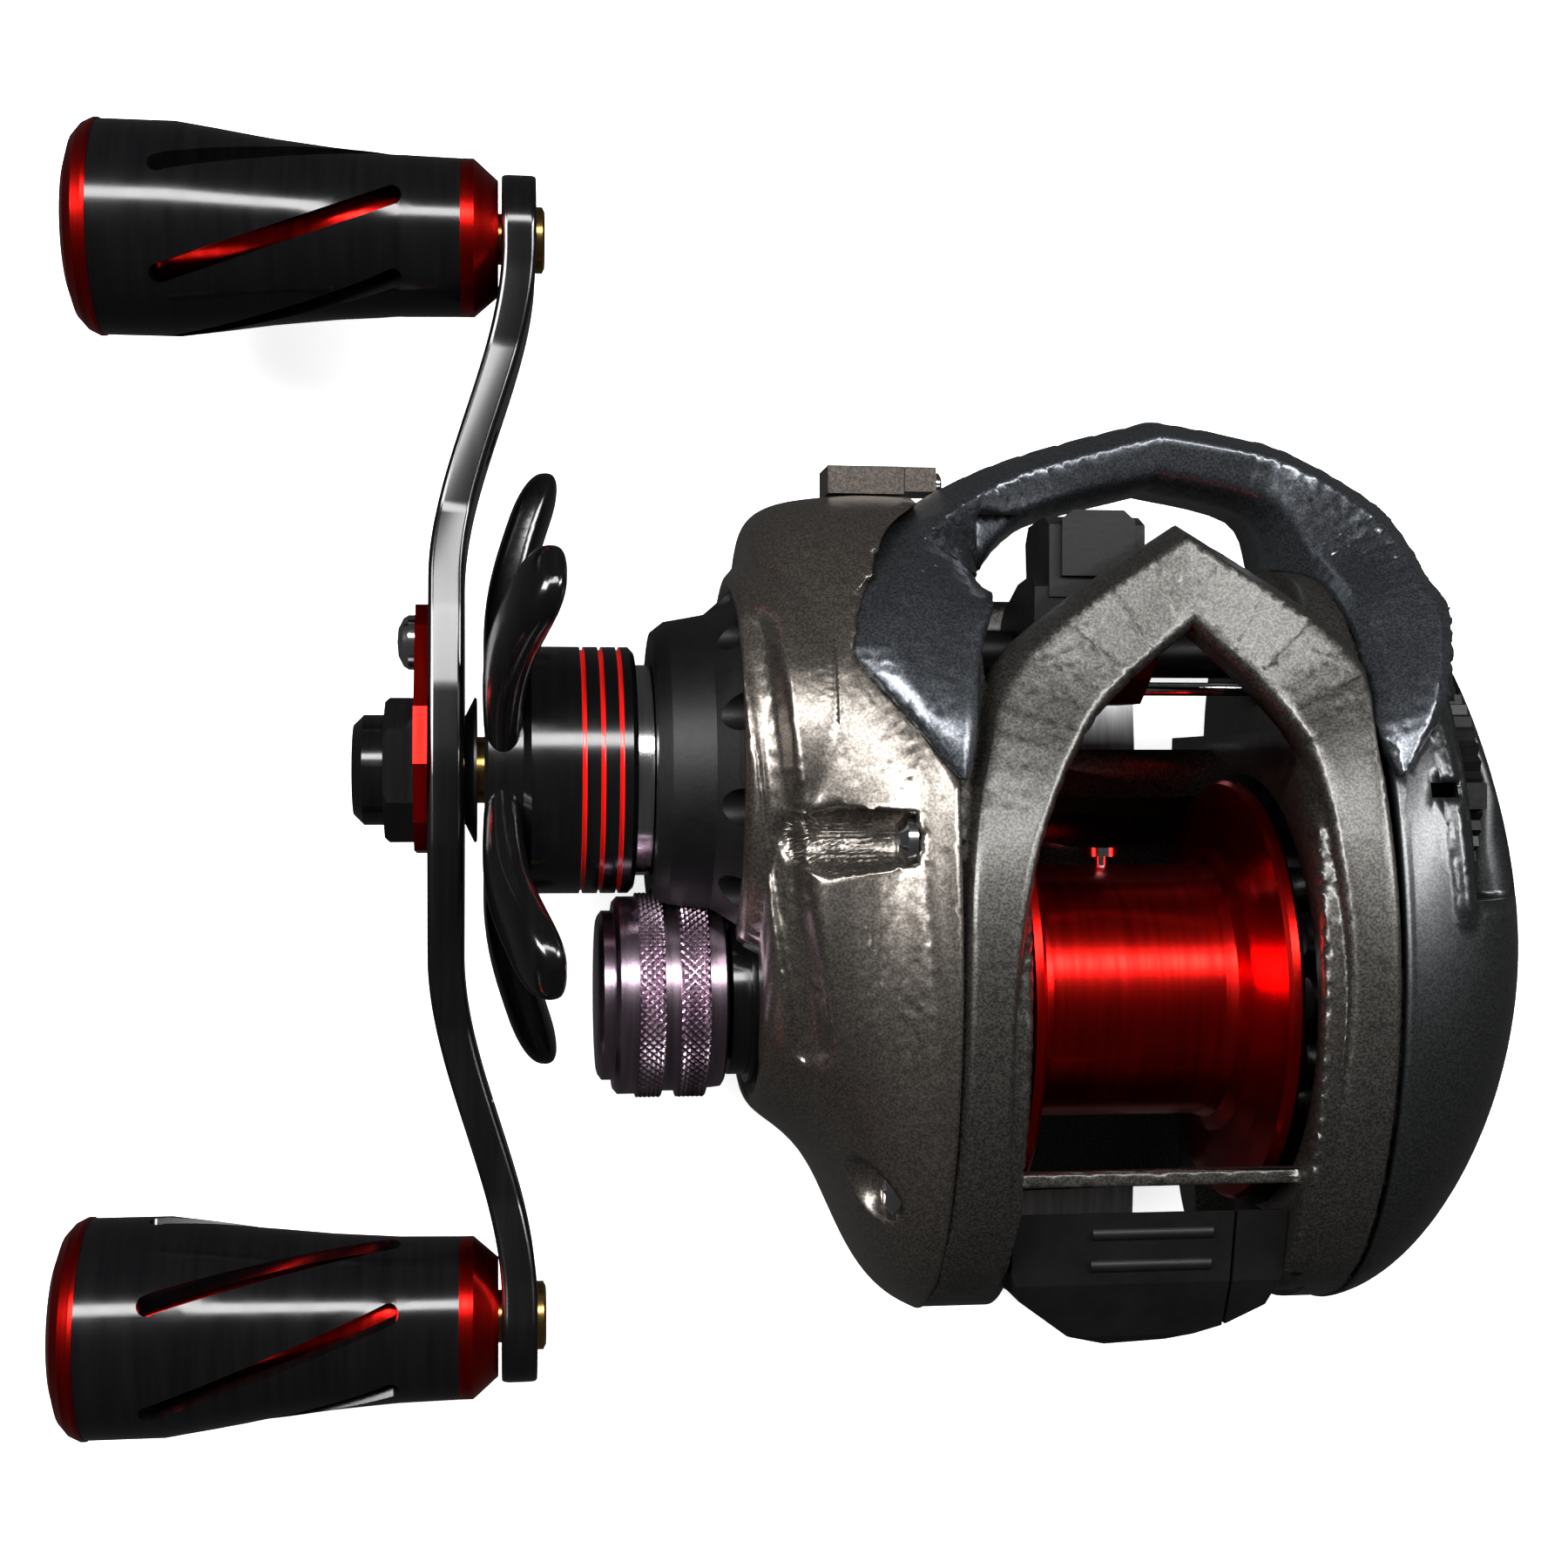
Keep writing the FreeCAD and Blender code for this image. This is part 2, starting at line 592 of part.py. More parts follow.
def palm_inner_plate():
    """Round plug that closes the spool port and carries the palm-side bearing."""
    plug = turned("plug", [
        ("12.6", "5.05"), ("15.2", "5.05"), ("15.2", "2.2"), ("16.6", "2.2"), ("16.6", "port_rad - 0.1"),
        ("14.2", "port_rad - 0.1"), ("14.2", "15.4"), ("15.4", "15.4"), ("15.4", "12.6"), ("13.6", "12.6"),
        ("13.6", "6.4"), ("12.6", "6.4"),
    ], z="spool_z")
    spokes = [drilled("vent_%d" % i, ("15.3", str(round(14.0 * math.cos(i * 1.047), 3)),
                                       str(round(20 + 14.0 * math.sin(i * 1.047), 3))), "0.9", "1.4", (1, 0, 0))
              for i in range(6)]
    return keep("palm_inner_plate", cut("palm_inner_plate", plug, *spokes))


def brake_dial():
    """Knurled wheel whose rim shows in the palm cover's scoop, with a finger tab on its rim."""
    y, z = value("dial_y"), value("dial_z")
    count = 46
    points = []
    for i in range(count * 2):
        radius = 9.6 if i % 2 else 9.15
        turn = math.pi * i / count
        points.append((22.95, y + radius * math.cos(turn), z + radius * math.sin(turn)))
    wheel = Part.Face(wire(points)).extrude(FreeCAD.Vector(1.85, 0, 0))
    dish = Part.makeCone(7.6, 6.8, 0.6, FreeCAD.Vector(22.95, y, z), FreeCAD.Vector(1, 0, 0))
    tab = Part.makeBox(1.85, 2.0, 1.2, FreeCAD.Vector(22.95, y - 1.0, z + 9.0))
    bore = cylinder(22, 26, 1.55, y, z)
    return keep("brake_dial", shaped("brake_dial", wheel.fuse(tab).cut(dish).cut(bore).removeSplitter()))


def brake_dial_axle():
    return keep("brake_dial_axle", turned("brake_dial_axle", [
        ("22.75", "0"), ("22.75", "2.6"), ("23.45", "2.6"), ("23.45", "1.5"), ("26.4", "1.5"), ("26.4", "0"),
    ], "dial_y", "dial_z"))


def brake_magnets():
    """Twelve button magnets round the plug, facing the rotor."""
    buttons = []
    for i in range(12):
        turn = math.radians(30 * i)
        y, z = 9.6 * math.cos(turn), 20 + 9.6 * math.sin(turn)
        centre = ("12.5", str(round(y, 4)), str(round(z, 4)))
        buttons.append(drilled("magnet_%d" % i, centre, "1.6", "1.1", (1, 0, 0)))
    return keep("brake_magnets", group("brake_magnets", *buttons))


def spool():
    """Machined spool: open on the palm side, a web at the middle joins the drum to the shaft."""
    corners = [
        ("spool_left", "10.6"), ("spool_left", "flange_rad - 0.3"), ("spool_left + 0.3", "flange_rad"),
        ("spool_left + 0.9", "flange_rad"), ("spool_left + 1.2", "flange_rad - 0.3"),
        ("spool_left + 1.3", "13.6"), ("spool_left + 1.7", "11.4"), ("spool_left + 2.4", "10.3"),
        ("spool_left + 3.3", "drum_rad"), ("6.0", "drum_rad"), ("6.9", "10.3"), ("7.6", "11.4"),
        ("8.1", "13.6"), ("8.6", "flange_rad - 0.3"), ("8.9", "flange_rad"), ("9.5", "flange_rad"),
        ("spool_right", "flange_rad - 0.4"), ("9.3", "13.4"), ("8.8", "10.9"), ("8.0", "9.3"),
        ("-2.4", "9.3"), ("-2.4", "3.0"), ("1.6", "3.0"), ("1.6", "shaft_rad"), ("-5.2", "shaft_rad"),
        ("-5.2", "3.0"), ("-3.6", "3.0"), ("-3.6", "9.0"), ("-9.4", "9.4"),
    ]
    body = turned("spool_turned", corners, z="spool_z")
    hole = drilled("pin_hole", ("-1.2", "8.6", "spool_z"), "0.6", "4", (0, 1, 0))
    return keep("spool", cut("spool", body, hole))


def spool_shaft():
    return keep("spool_shaft", turned("spool_shaft", [
        ("-36.8", "0"), ("-36.8", "0.7"), ("-36.4", "shaft_rad"), ("14.4", "shaft_rad"), ("14.8", "0.8"), ("14.8", "0"),
    ], z="spool_z"))


def line_pin():
    """Short chrome post in the drum that the line is knotted to."""
    stem = drilled("pin_stem", ("-1.2", "9.15", "spool_z"), "0.58", "1.6", (0, 1, 0))
    head = drilled("pin_head", ("-1.2", "10.7", "spool_z"), "1.45", "0.7", (0, 1, 0))
    whole = joined("pin_whole", stem, head)
    return keep("line_pin", whole)


def brake_rotor():
    return keep("brake_rotor", turned("brake_rotor", [
        ("1.65", "1.3"), ("1.65", "4.4"), ("9.6", "8.2"), ("12.1", "8.2"), ("12.1", "7.3"), ("10.1", "7.3"),
        ("3.4", "3.8"), ("3.4", "1.3"),
    ], z="spool_z"))


def bearing(label, start, end, outer, inner, y, z):
    """Ball bearing drawn as its closed outline, with the shield grooves."""
    mid = (value(outer) + value(inner)) / 2
    return turned(label, [
        (start, inner), (end, inner), (end, str(mid - 0.5)), (end + " - 0.15", str(mid - 0.5)),
        (end + " - 0.15", str(mid + 0.5)), (end, str(mid + 0.5)), (end, outer), (start, outer),
        (start, str(mid + 0.5)), (start + " + 0.15", str(mid + 0.5)), (start + " + 0.15", str(mid - 0.5)),
        (start, str(mid - 0.5)),
    ], y, z)


def bearings():
    palm_one = bearing("palm_race", "12.8", "15.2", "5.0", "1.3", "0", "spool_z")
    gear_one = bearing("gear_race", "-35.0", "-33.0", "4.0", "1.3", "0", "spool_z")
    keep("spool_bearings", group("spool_bearings", palm_one, gear_one))
    drive = bearing("drive_bearing", "-14.4", "-12.4", "4.0", "2.15", "drive_y", "drive_z")
    keep("drive_bearing", drive)


def involute(base, radius):
    return math.sqrt(max((radius / base) ** 2 - 1.0, 0.0))


def tooth_half_angle(count, module, radius, thin):
    pressure = math.radians(20)
    pitch = count * module / 2
    base = pitch * math.cos(pressure)
    roll = involute(base, max(radius, base))
    spread = roll - math.atan(roll)
    return math.pi / (2 * count) - thin / pitch + math.tan(pressure) - pressure - spread


def toothed(count, module, add, dig, start, end, y, z, phase, thin=0.035):
    """A spur gear blank with involute flanks; phase is where the first tooth points."""
    pitch = count * module / 2
    points = []
    for i in range(count):
        centre = phase + 2 * math.pi * i / count
        radii = [pitch - dig, pitch - 0.3 * dig, pitch + 0.3 * add, pitch + add]
        halves = [tooth_half_angle(count, module, r, thin) for r in radii]
        flank = list(zip(radii, halves))
        for radius, half in flank:
            points.append((start, y + radius * math.cos(centre - half), z + radius * math.sin(centre - half)))
        for radius, half in flank[::-1]:
            points.append((start, y + radius * math.cos(centre + half), z + radius * math.sin(centre + half)))
    return Part.Face(wire(points)).extrude(FreeCAD.Vector(end - start, 0, 0))


def cylinder(start, end, radius, y, z):
    return Part.makeCylinder(radius, end - start, FreeCAD.Vector(start, y, z), FreeCAD.Vector(1, 0, 0))


MAIN_TEETH, PINION_TEETH = 73, 10
WIND_DRIVE_TEETH, WIND_TEETH = 24, 16


def gear_train():
    """Drive gear and pinion at 7.3 to 1, and the pair that turns the worm."""
    dy, dz = value("drive_y"), value("drive_z")
    sz = value("spool_z")
    wy, wz = value("worm_y"), value("worm_z")
    start, end = value("mesh_start"), value("mesh_end")
    apart = math.hypot(dy, sz - dz)
    module = 2 * apart / (MAIN_TEETH + PINION_TEETH)
    toward = math.atan2(sz - dz, -dy)
    main = toothed(MAIN_TEETH, module, 0.25, 0.46, start, end, dy, dz, toward + math.pi / MAIN_TEETH)
    recess = cylinder(start - 1, start + 1.5, 12.0, dy, dz)
    bore = cylinder(start - 1, end + 1, 2.65, dy, dz)
    main = main.cut(recess).cut(bore)
    for i in range(6):
        turn = math.radians(60 * i + 30)
        main = main.cut(cylinder(start, end + 1, 2.2, dy + 8.2 * math.cos(turn), dz + 8.2 * math.sin(turn)))
    keep("main_gear", shaped("main_gear", main))
    pinion = toothed(PINION_TEETH, module, 0.36, 0.40, start - 0.4, end + 0.4, 0.0, sz, toward + math.pi)
    pinion = pinion.fuse(cylinder(end + 0.4, -17.4, 1.82, 0.0, sz)).fuse(cylinder(-17.4, -16.6, 1.6, 0.0, sz))
    pinion = pinion.fuse(cylinder(-16.6, -12.0, 2.5, 0.0, sz)).fuse(cylinder(start - 2.6, start - 0.4, 2.0, 0.0, sz))
    pinion = pinion.cut(cylinder(-40, 0, 1.32, 0.0, sz))
    keep("pinion_gear", shaped("pinion_gear", pinion.removeSplitter()))
    apart = math.hypot(wy - dy, wz - dz)
    module = 2 * apart / (WIND_DRIVE_TEETH + WIND_TEETH)
    toward = math.atan2(wz - dz, wy - dy)
    start, end = value("wind_start"), value("wind_end")
    phase = toward + math.pi / WIND_DRIVE_TEETH
    drive = toothed(WIND_DRIVE_TEETH, module, 0.38, 0.50, start, end, dy, dz, phase)
    drive = drive.cut(cylinder(start - 1, end + 1, 2.62, dy, dz))
    keep("levelwind_drive_gear", shaped("levelwind_drive_gear", drive))
    follower = toothed(WIND_TEETH, module, 0.38, 0.50, start, end, wy, wz, toward + math.pi)
    follower = follower.cut(cylinder(start - 1, end + 1, 1.32, wy, wz))
    keep("levelwind_gear", shaped("levelwind_gear", follower))


def pinion_yoke():
    """Brass-coloured plate that holds the pinion's groove and carries it out of mesh."""
    blank = plate("yoke_blank", [("-2.9", "12.6"), ("2.9", "12.6"), ("2.9", "27.4"), ("-2.9", "27.4")], "-17.35", "-16.65")
    gap = block("yoke_gap", ("-18", "-16"), ("-4", "0"), ("spool_z - 1.68", "spool_z + 1.68"))
    eye = rod("yoke_eye", "-18", "-16", "1.68", z="spool_z")
    posts = []
    for i, z in enumerate(YOKE_POSTS):
        posts.append(drilled("yoke_bore_%d" % i, ("-18", "0", str(z)), "0.82", "2", (1, 0, 0)))
    return keep("pinion_yoke", cut("pinion_yoke", blank, gap, eye, *posts))


YOKE_POSTS = [14.6, 25.4]


def yoke_posts():
    pins = [drilled("post_%d" % i, ("-22.4", "0", str(z)), "0.75", "8.0", (1, 0, 0)) for i, z in enumerate(YOKE_POSTS)]
    return keep("yoke_posts", group("yoke_posts", *pins))


def coil(x, y, z, radius, pitch, length, thick, per_turn=20):
    """Spring of eight-sided wire, wound in short straight lengths."""
    rings = []
    for k in range(round(per_turn * length / pitch) + 1):
        turn = 2 * math.pi * k / per_turn
        along = x + pitch * k / per_turn
        ring_points = []
        for i in range(8):
            side = math.radians(45 * i)
            reach = radius + thick * math.cos(side)
            ring_points.append((along + thick * math.sin(side), y + reach * math.cos(turn), z + reach * math.sin(turn)))
        rings.append(wire(ring_points))
    return loft(rings, True)


def yoke_springs():
    coils = [shaped("coil_%d" % i, coil(-21.4, 0, z, 1.15, 0.9, 3.7, 0.16)) for i, z in enumerate(YOKE_POSTS)]
    return keep("yoke_springs", group("yoke_springs", *coils))


def thumb_bar():
    """Clutch bar between the walls at the back, with two grip ribs and a sloped top."""
    side = plate("thumb_side", [
        ("-15.9", "31.3"), ("-21.5", "30.0"), ("-26.0", "27.8"), ("-27.4", "25.4"), ("-26.6", "20.4"),
        ("-23.6", "15.6"), ("-21.2", "15.0"), ("-18.3", "20.0"), ("-17.2", "25.6"), ("-16.2", "29.4"),
    ], "-10.9", "10.4")
    top = slab("thumb_top", [
        ("-10.8", "-14"), ("-10.9", "-20.5"), ("-10.1", "-22.8"), ("-6.0", "-25.9"), ("-2.6", "-27.0"),
        ("2.1", "-26.6"), ("6.3", "-25.3"), ("9.4", "-23.6"), ("10.4", "-21.0"), ("10.4", "-14"),
    ], "10", "34")
    body = common("thumb_body", side, top)
    seam = block("thumb_seam", ("6.2", "6.45"), ("-32", "-14"), ("24", "34"))
    ribs = []
    for i, (y, z) in enumerate(((-17.5, 30.65), (-20.0, 30.1))):
        ribs.append(drilled("rib_%d" % i, ("-4.8", str(y), str(z)), "0.55", "9.4", (1, 0, 0)))
    whole = joined("thumb_whole", cut("thumb_cut", body, seam), *ribs)
    pin_bore = drilled("thumb_bore", ("7.6", "-18.6", "25.0"), "0.9", "4", (1, 0, 0))
    return keep("thumb_bar", cut("thumb_bar", whole, pin_bore))


def thumb_guide_pin():
    pin = drilled("thumb_guide_pin", ("7.7", "-18.6", "25.0"), "0.88", "5.1", (1, 0, 0))
    return keep("thumb_guide_pin", pin)


def worm_shaft():
    """Levelwind worm: smooth ends and a row of shallow grooves where the pawl runs."""
    corners = [("-16.3", "0"), ("-16.3", "1.3")]
    for i in range(13):
        x = -10.8 + 1.8 * i
        corners += [(str(round(x - 0.45, 3)), "1.3"), (str(round(x - 0.2, 3)), "1.0"),
                    (str(round(x + 0.2, 3)), "1.0"), (str(round(x + 0.45, 3)), "1.3")]
    corners += [("16.2", "1.3"), ("16.2", "0")]
    return keep("worm_shaft", turned("worm_shaft", corners, "worm_y", "worm_z"))


def worm_shield():
    """Black tube over the worm, slotted underneath for the pawl."""
    tube = ring("shield_tube", "- wall_front + 0.1", "wall_front - 0.1", "1.9", "1.5", "worm_y", "worm_z")
    slot = block("shield_slot", ("-11.6", "11.6"), ("worm_y - 0.75", "worm_y + 0.75"), ("worm_z - 3", "worm_z"))
    return keep("worm_shield", cut("worm_shield", tube, slot))


def guide_rod():
    return keep("guide_rod", rod("guide_rod", "-14.3", "wall_out - 0.9", "0.55", "24.2", "worm_z + 2.2"))


GUIDE_X = -3.2


def line_guide():
    """Carriage that rides on the shield and the rod, with a nose that holds the eye."""
    x = GUIDE_X
    back = plate("guide_back", [
        ("23.0", "14.6"), ("29.6", "14.2"), ("30.6", "15.4"), ("32.4", "20.4"), ("32.8", "25.2"), ("31.8", "26.2"),
        ("26.2", "25.9"), ("24.8", "24.4"), ("22.9", "21.4"),
    ], str(x - 4.9), str(x + 4.9))
    nose = plate("guide_nose", [
        ("31.0", "19.0"), ("35.8", "18.4"), ("37.1", "19.4"), ("37.4", "24.6"), ("36.6", "26.4"), ("31.0", "26.4"),
    ], str(x - 3.8), str(x + 3.8))
    cap = slab("guide_cap", [
        (str(x - 2.9), "32.6"), (str(x - 2.9), "36.9"), (str(x - 2.0), "37.7"), (str(x + 2.0), "37.7"),
        (str(x + 2.9), "36.9"), (str(x + 2.9), "32.6"),
    ], "26.0", "26.9")
    line_path = block("line_path", (str(x - 1.9), str(x + 1.9)), ("20", "40"), ("19.9", "25.1"))
    shield_bore = rod("shield_bore", "-12", "6", "1.96", "worm_y", "worm_z")
    rod_bore = rod("rod_bore", "-12", "6", "0.62", "24.2", "worm_z + 2.2")
    pawl_bore = drilled("pawl_bore", (str(x), "worm_y", "13"), "1.45", "3", (0, 0, 1))
    whole = joined("guide_whole", back, nose, cap)
    return keep("line_guide", cut("line_guide", whole, line_path, shield_bore, rod_bore, pawl_bore))


def line_guide_insert():
    """Hard ring in the eye that the line runs through."""
    x = GUIDE_X
    frame = block("insert_out", (str(x - 1.9), str(x + 1.9)), ("34.4", "37.3"), ("19.9", "25.1"))
    hole = block("insert_in", (str(x - 1.3), str(x + 1.3)), ("34", "38"), ("20.5", "24.5"))
    return keep("line_guide_insert", cut("line_guide_insert", frame, hole))


def line_guide_pawl():
    """Pawl under the carriage; its tip stands in the slot just clear of the worm."""
    x = str(GUIDE_X)
    stem = drilled("pawl_stem", (x, "worm_y", "13.9"), "1.4", "1.1", (0, 0, 1))
    tip = drilled("pawl_tip", (x, "worm_y", "14.9"), "0.6", "0.75", (0, 0, 1))
    head = drilled("pawl_head", (x, "worm_y", "13.2"), "2.2", "0.75", (0, 0, 1))
    return keep("line_guide_pawl", joined("line_guide_pawl", stem, tip, head))


def drive_shaft():
    return keep("drive_shaft", turned("drive_shaft", [
        ("-12.2", "0"), ("-12.2", "2.1"), ("-14.6", "2.1"), ("-14.6", "2.6"), ("-17.0", "2.6"), ("-17.0", "7.2"),
        ("-18.6", "7.2"), ("-18.6", "2.6"), ("-57.6", "drive_rad"), ("-58.0", "2.2"), ("-58.0", "0"),
    ], "drive_y", "drive_z"))


def drag_stack():
    """Carbon washer and pressure plate inside the drive gear."""
    keep("drag_washer", ring("drag_washer", "-20.5", "-21.2", "11.6", "2.7", "drive_y", "drive_z"))


def one_way_clutch():
    keep("one_way_bearing", ring("one_way_bearing", "-36.7", "-28.2", "7.0", "4.02", "drive_y", "drive_z"))
    keep("one_way_sleeve", ring("one_way_sleeve", "-37.3", "-22.3", "3.95", "2.62", "drive_y", "drive_z"))


def star_drag():
    """Five swept arms on a grooved hub."""
    dy, dz = value("drive_y"), value("drive_z")
    hub = turned("star_hub", hub_profile(), "drive_y", "drive_z")
    arms = []
    for i, degrees in enumerate((-17, 55, 127, 199, 271)):
        arms.append(star_arm(i, degrees, dy, dz))
    bore = rod("star_bore", "-60", "-30", "2.66", "drive_y", "drive_z")
    return keep("star_drag", cut("star_drag", joined("star_whole", hub, *arms), bore))


def hub_profile():
    corners = [("hub_in", "2.4"), ("hub_in", "hub_rad - 0.4"), ("hub_in - 0.4", "hub_rad")]
    for x in (-39.9, -41.3, -42.7):
        corners += [(str(x), "hub_rad"), (str(x - 0.05), "hub_rad - 0.25"), (str(x - 0.25), "hub_rad - 0.25"),
                    (str(round(x - 0.3, 3)), "hub_rad")]
    corners += [("star_in + 0.6", "hub_rad"), ("star_in", "hub_rad - 0.5"), ("star_in", "9.0"),
                ("star_out + 0.3", "9.0"), ("star_out", "8.7"), ("star_out", "2.4")]
    return corners


def star_arm(i, degrees, dy, dz):
    """One arm: a paddle that leaves the hub, bends toward the body and thickens at its tip."""
    stations = [
        # reach, x of the middle, half width, half thickness
        (7.5, -48.9, 4.2, 1.5), (12.0, -48.8, 3.3, 1.6), (16.0, -48.2, 3.0, 1.65),
        (20.0, -47.1, 3.1, 1.65), (23.0, -46.1, 2.9, 1.5), (24.4, -45.6, 2.1, 1.05), (24.9, -45.45, 1.2, 0.55),
    ]
    wires = []
    for reach, x, wide, thick in stations:
        points = []
        for k in range(12):
            turn = 2 * math.pi * k / 12
            side = wide * math.copysign(abs(math.cos(turn)) ** 0.75, math.cos(turn))
            depth = thick * math.copysign(abs(math.sin(turn)) ** 0.75, math.sin(turn))
            points.append((x + depth, side, reach))
        wires.append(curve(points))
    arm = loft(wires)
    axis = FreeCAD.Rotation(FreeCAD.Vector(1, 0, 0), degrees - 90)
    arm.Placement = FreeCAD.Placement(FreeCAD.Vector(0, dy, dz), axis)
    return shaped("star_arm_%d" % i, arm)


def star_fittings():
    keep("star_spacer_ring", ring("star_spacer_ring", "-38.75", "-37.55", "8.3", "2.66", "drive_y", "drive_z"))
    wave = turned("star_spring_washer", [
        ("-51.85", "2.7"), ("-51.5", "2.7"), ("-50.9", "5.6"), ("-51.1", "5.7"), ("-51.85", "4.2"),
    ], "drive_y", "drive_z")
    keep("handle_spring_washer", wave)


def handle_arm():
    """Double-ended bar cranked toward the body at both ends; knobs are riveted to its tips."""
    dy, dz = value("drive_y"), value("drive_z")
    out_mid, out_end = value("arm_out"), value("arm_out") + value("arm_offset")
    path = [(out_end, 47.5), (out_end, 37.6), (out_mid, 17.6)]
    path += [(x, -y) for x, y in path[::-1]]
    thick = value("arm_in") - value("arm_out")
    edge = [(x, dy + y, dz - 7.0) for x, y in path]
    edge += [(x + thick, dy + y, dz - 7.0) for x, y in path[::-1]]
    bar = Part.Face(wire(edge)).extrude(FreeCAD.Vector(0, 0, 14))
    face = [(dy + y, dz + z) for y, z in arm_outline()]
    blank = Part.Face(wire([(-60, y, z) for y, z in face])).extrude(FreeCAD.Vector(20, 0, 0))
    arm = bar.common(blank)
    bends = (17.6, 37.6)
    rims = [e for e in arm.Edges if abs(e.tangentAt(e.FirstParameter).z) < 0.9 and e.Length > 0.5
            and min(abs(abs(e.CenterOfMass.y - dy) - b) for b in bends) > 0.3]
    arm = arm.makeFillet(0.3, rims)
    arm = arm.cut(cylinder(-60, -45, 2.66, dy, dz))
    for side in (1, -1):
        arm = arm.cut(cylinder(-60, -40, 2.02, dy + side * value("arm_reach"), dz))
        arm = arm.cut(cylinder(-60, -40, 1.5, dy + side * 25.5, dz))
    arm = arm.cut(cylinder(-60, -40, 1.05, dy + 10.0, dz))
    return keep("handle_arm", shaped("handle_arm", tipped(arm)))


def tipped(shape):
    """Turned with the handle, which stops a little short of level."""
    turned_shape = shape.copy()
    tilt = -math.degrees(math.atan2(value("knob_drop"), value("knob_ahead")))
    centre = FreeCAD.Vector(0, value("drive_y"), value("drive_z"))
    turned_shape.rotate(centre, FreeCAD.Vector(1, 0, 0), tilt)
    return turned_shape


def knob_place(side):
    """y and z of a knob's axis, as sums of named sizes."""
    return "drive_y " + side + " knob_ahead", "drive_z " + ("-" if side == "+" else "+") + " knob_drop"


def arm_outline():
    half = []
    for k in range(0, 91, 15):
        turn = math.radians(k)
        half.append((value("arm_reach") + 5.0 * math.cos(turn), 5.0 * math.sin(turn)))
    half += [(33.0, 4.1), (20.0, 4.3), (12.0, 5.6), (6.0, 6.3), (0.0, 6.6)]
    upper = half + [(-y, z) for y, z in half[::-1][1:]]
    lower = [(y, -z) for y, z in upper[::-1][1:-1]]
    return upper + lower


def handle_nut():
    dy, dz = value("drive_y"), value("drive_z")
    across = value("nut_flats") / math.sqrt(3)
    hexagon = [(-58.0, dy + across * math.cos(math.radians(60 * k)), dz + across * math.sin(math.radians(60 * k)))
               for k in range(6)]
    body = Part.Face(wire(hexagon)).extrude(FreeCAD.Vector(3.4, 0, 0))
    cone = Part.makeCone(5.0, 9.6, 4.6, FreeCAD.Vector(-58.3, dy, dz), FreeCAD.Vector(1, 0, 0))
    body = body.common(cone)
    nose = cylinder(-59.6, -57.9, 4.3, dy, dz).fuse(
        Part.makeCone(3.5, 4.3, 0.8, FreeCAD.Vector(-60.4, dy, dz), FreeCAD.Vector(1, 0, 0)))
    bore = cylinder(-58.2, -50, 2.66, dy, dz)
    return keep("handle_nut", shaped("handle_nut", tipped(body.fuse(nose).cut(bore).removeSplitter())))


def nut_retainer():
    """Red plate round the nut, held by one screw so the nut can't work loose."""
    dy, dz = value("drive_y"), value("drive_z")
    outline = []
    for y, z in ((-6.4, -3.4), (-4.4, -5.9), (0.0, -7.0), (4.4, -6.4), (11.0, -3.2), (12.8, -1.6),
                 (12.8, 1.6), (11.0, 3.2), (4.4, 6.4), (0.0, 7.0), (-4.4, 5.9), (-6.4, 3.4)):
        outline.append((-55.65, dy + y, dz + z))
    blank = Part.Face(wire(outline)).extrude(FreeCAD.Vector(1.05, 0, 0))
    across = (value("nut_flats") + 0.12) / math.sqrt(3)
    hexagon = [(-57, dy + across * math.cos(math.radians(60 * k)), dz + across * math.sin(math.radians(60 * k)))
               for k in range(6)]
    hole = Part.Face(wire(hexagon)).extrude(FreeCAD.Vector(4, 0, 0))
    blank = blank.cut(hole).cut(cylinder(-57, -53, 1.05, dy + 10.0, dz))
    keep("nut_retainer_plate", shaped("nut_retainer_plate", tipped(blank)))
    keep("nut_retainer_screw", turned("nut_retainer_screw", [
        ("-57.1", "0"), ("-57.0", "1.1"), ("-56.6", "1.9"), ("-56.2", "2.15"), ("-55.65", "2.15"),
        ("-55.65", "1.02"), ("-52.5", "1.02"), ("-52.5", "0"),
    ], "drive_y + 9.981", "drive_z - 0.610"))


def slotted_shell(label, side):
    """Black knob shell, waisted, with long slanted slots right through the wall."""
    y, z = knob_place(side)
    wide, thin = "knob_wide", "knob_thin"
    shell_body = turned(label + "_blank", [
        ("knob_cap", "6.6"), ("knob_cap", wide), ("knob_cap + 5.8", wide), ("knob_cap + 9.0", "7.75"),
        ("knob_cap + 13.0", "7.15"), ("knob_cap + 18.0", "6.6"), ("knob_cap + 23.0", "6.25"),
        ("knob_neck", thin), ("knob_neck", "4.9"), ("knob_neck - 4.0", "5.0"), ("knob_cap + 10.0", "5.9"),
    ], y, z)
    doc.recompute()
    centre_y = value(y)
    centre_z = value(z)
    tools = []
    for k in range(6):
        tools.append(slant_slot(60.0 * k + 14.0, centre_y, centre_z))
    solid = shell_body.Shape.copy()
    for tool in tools:
        solid = solid.cut(tool)
    return keep(label, shaped(label, solid))


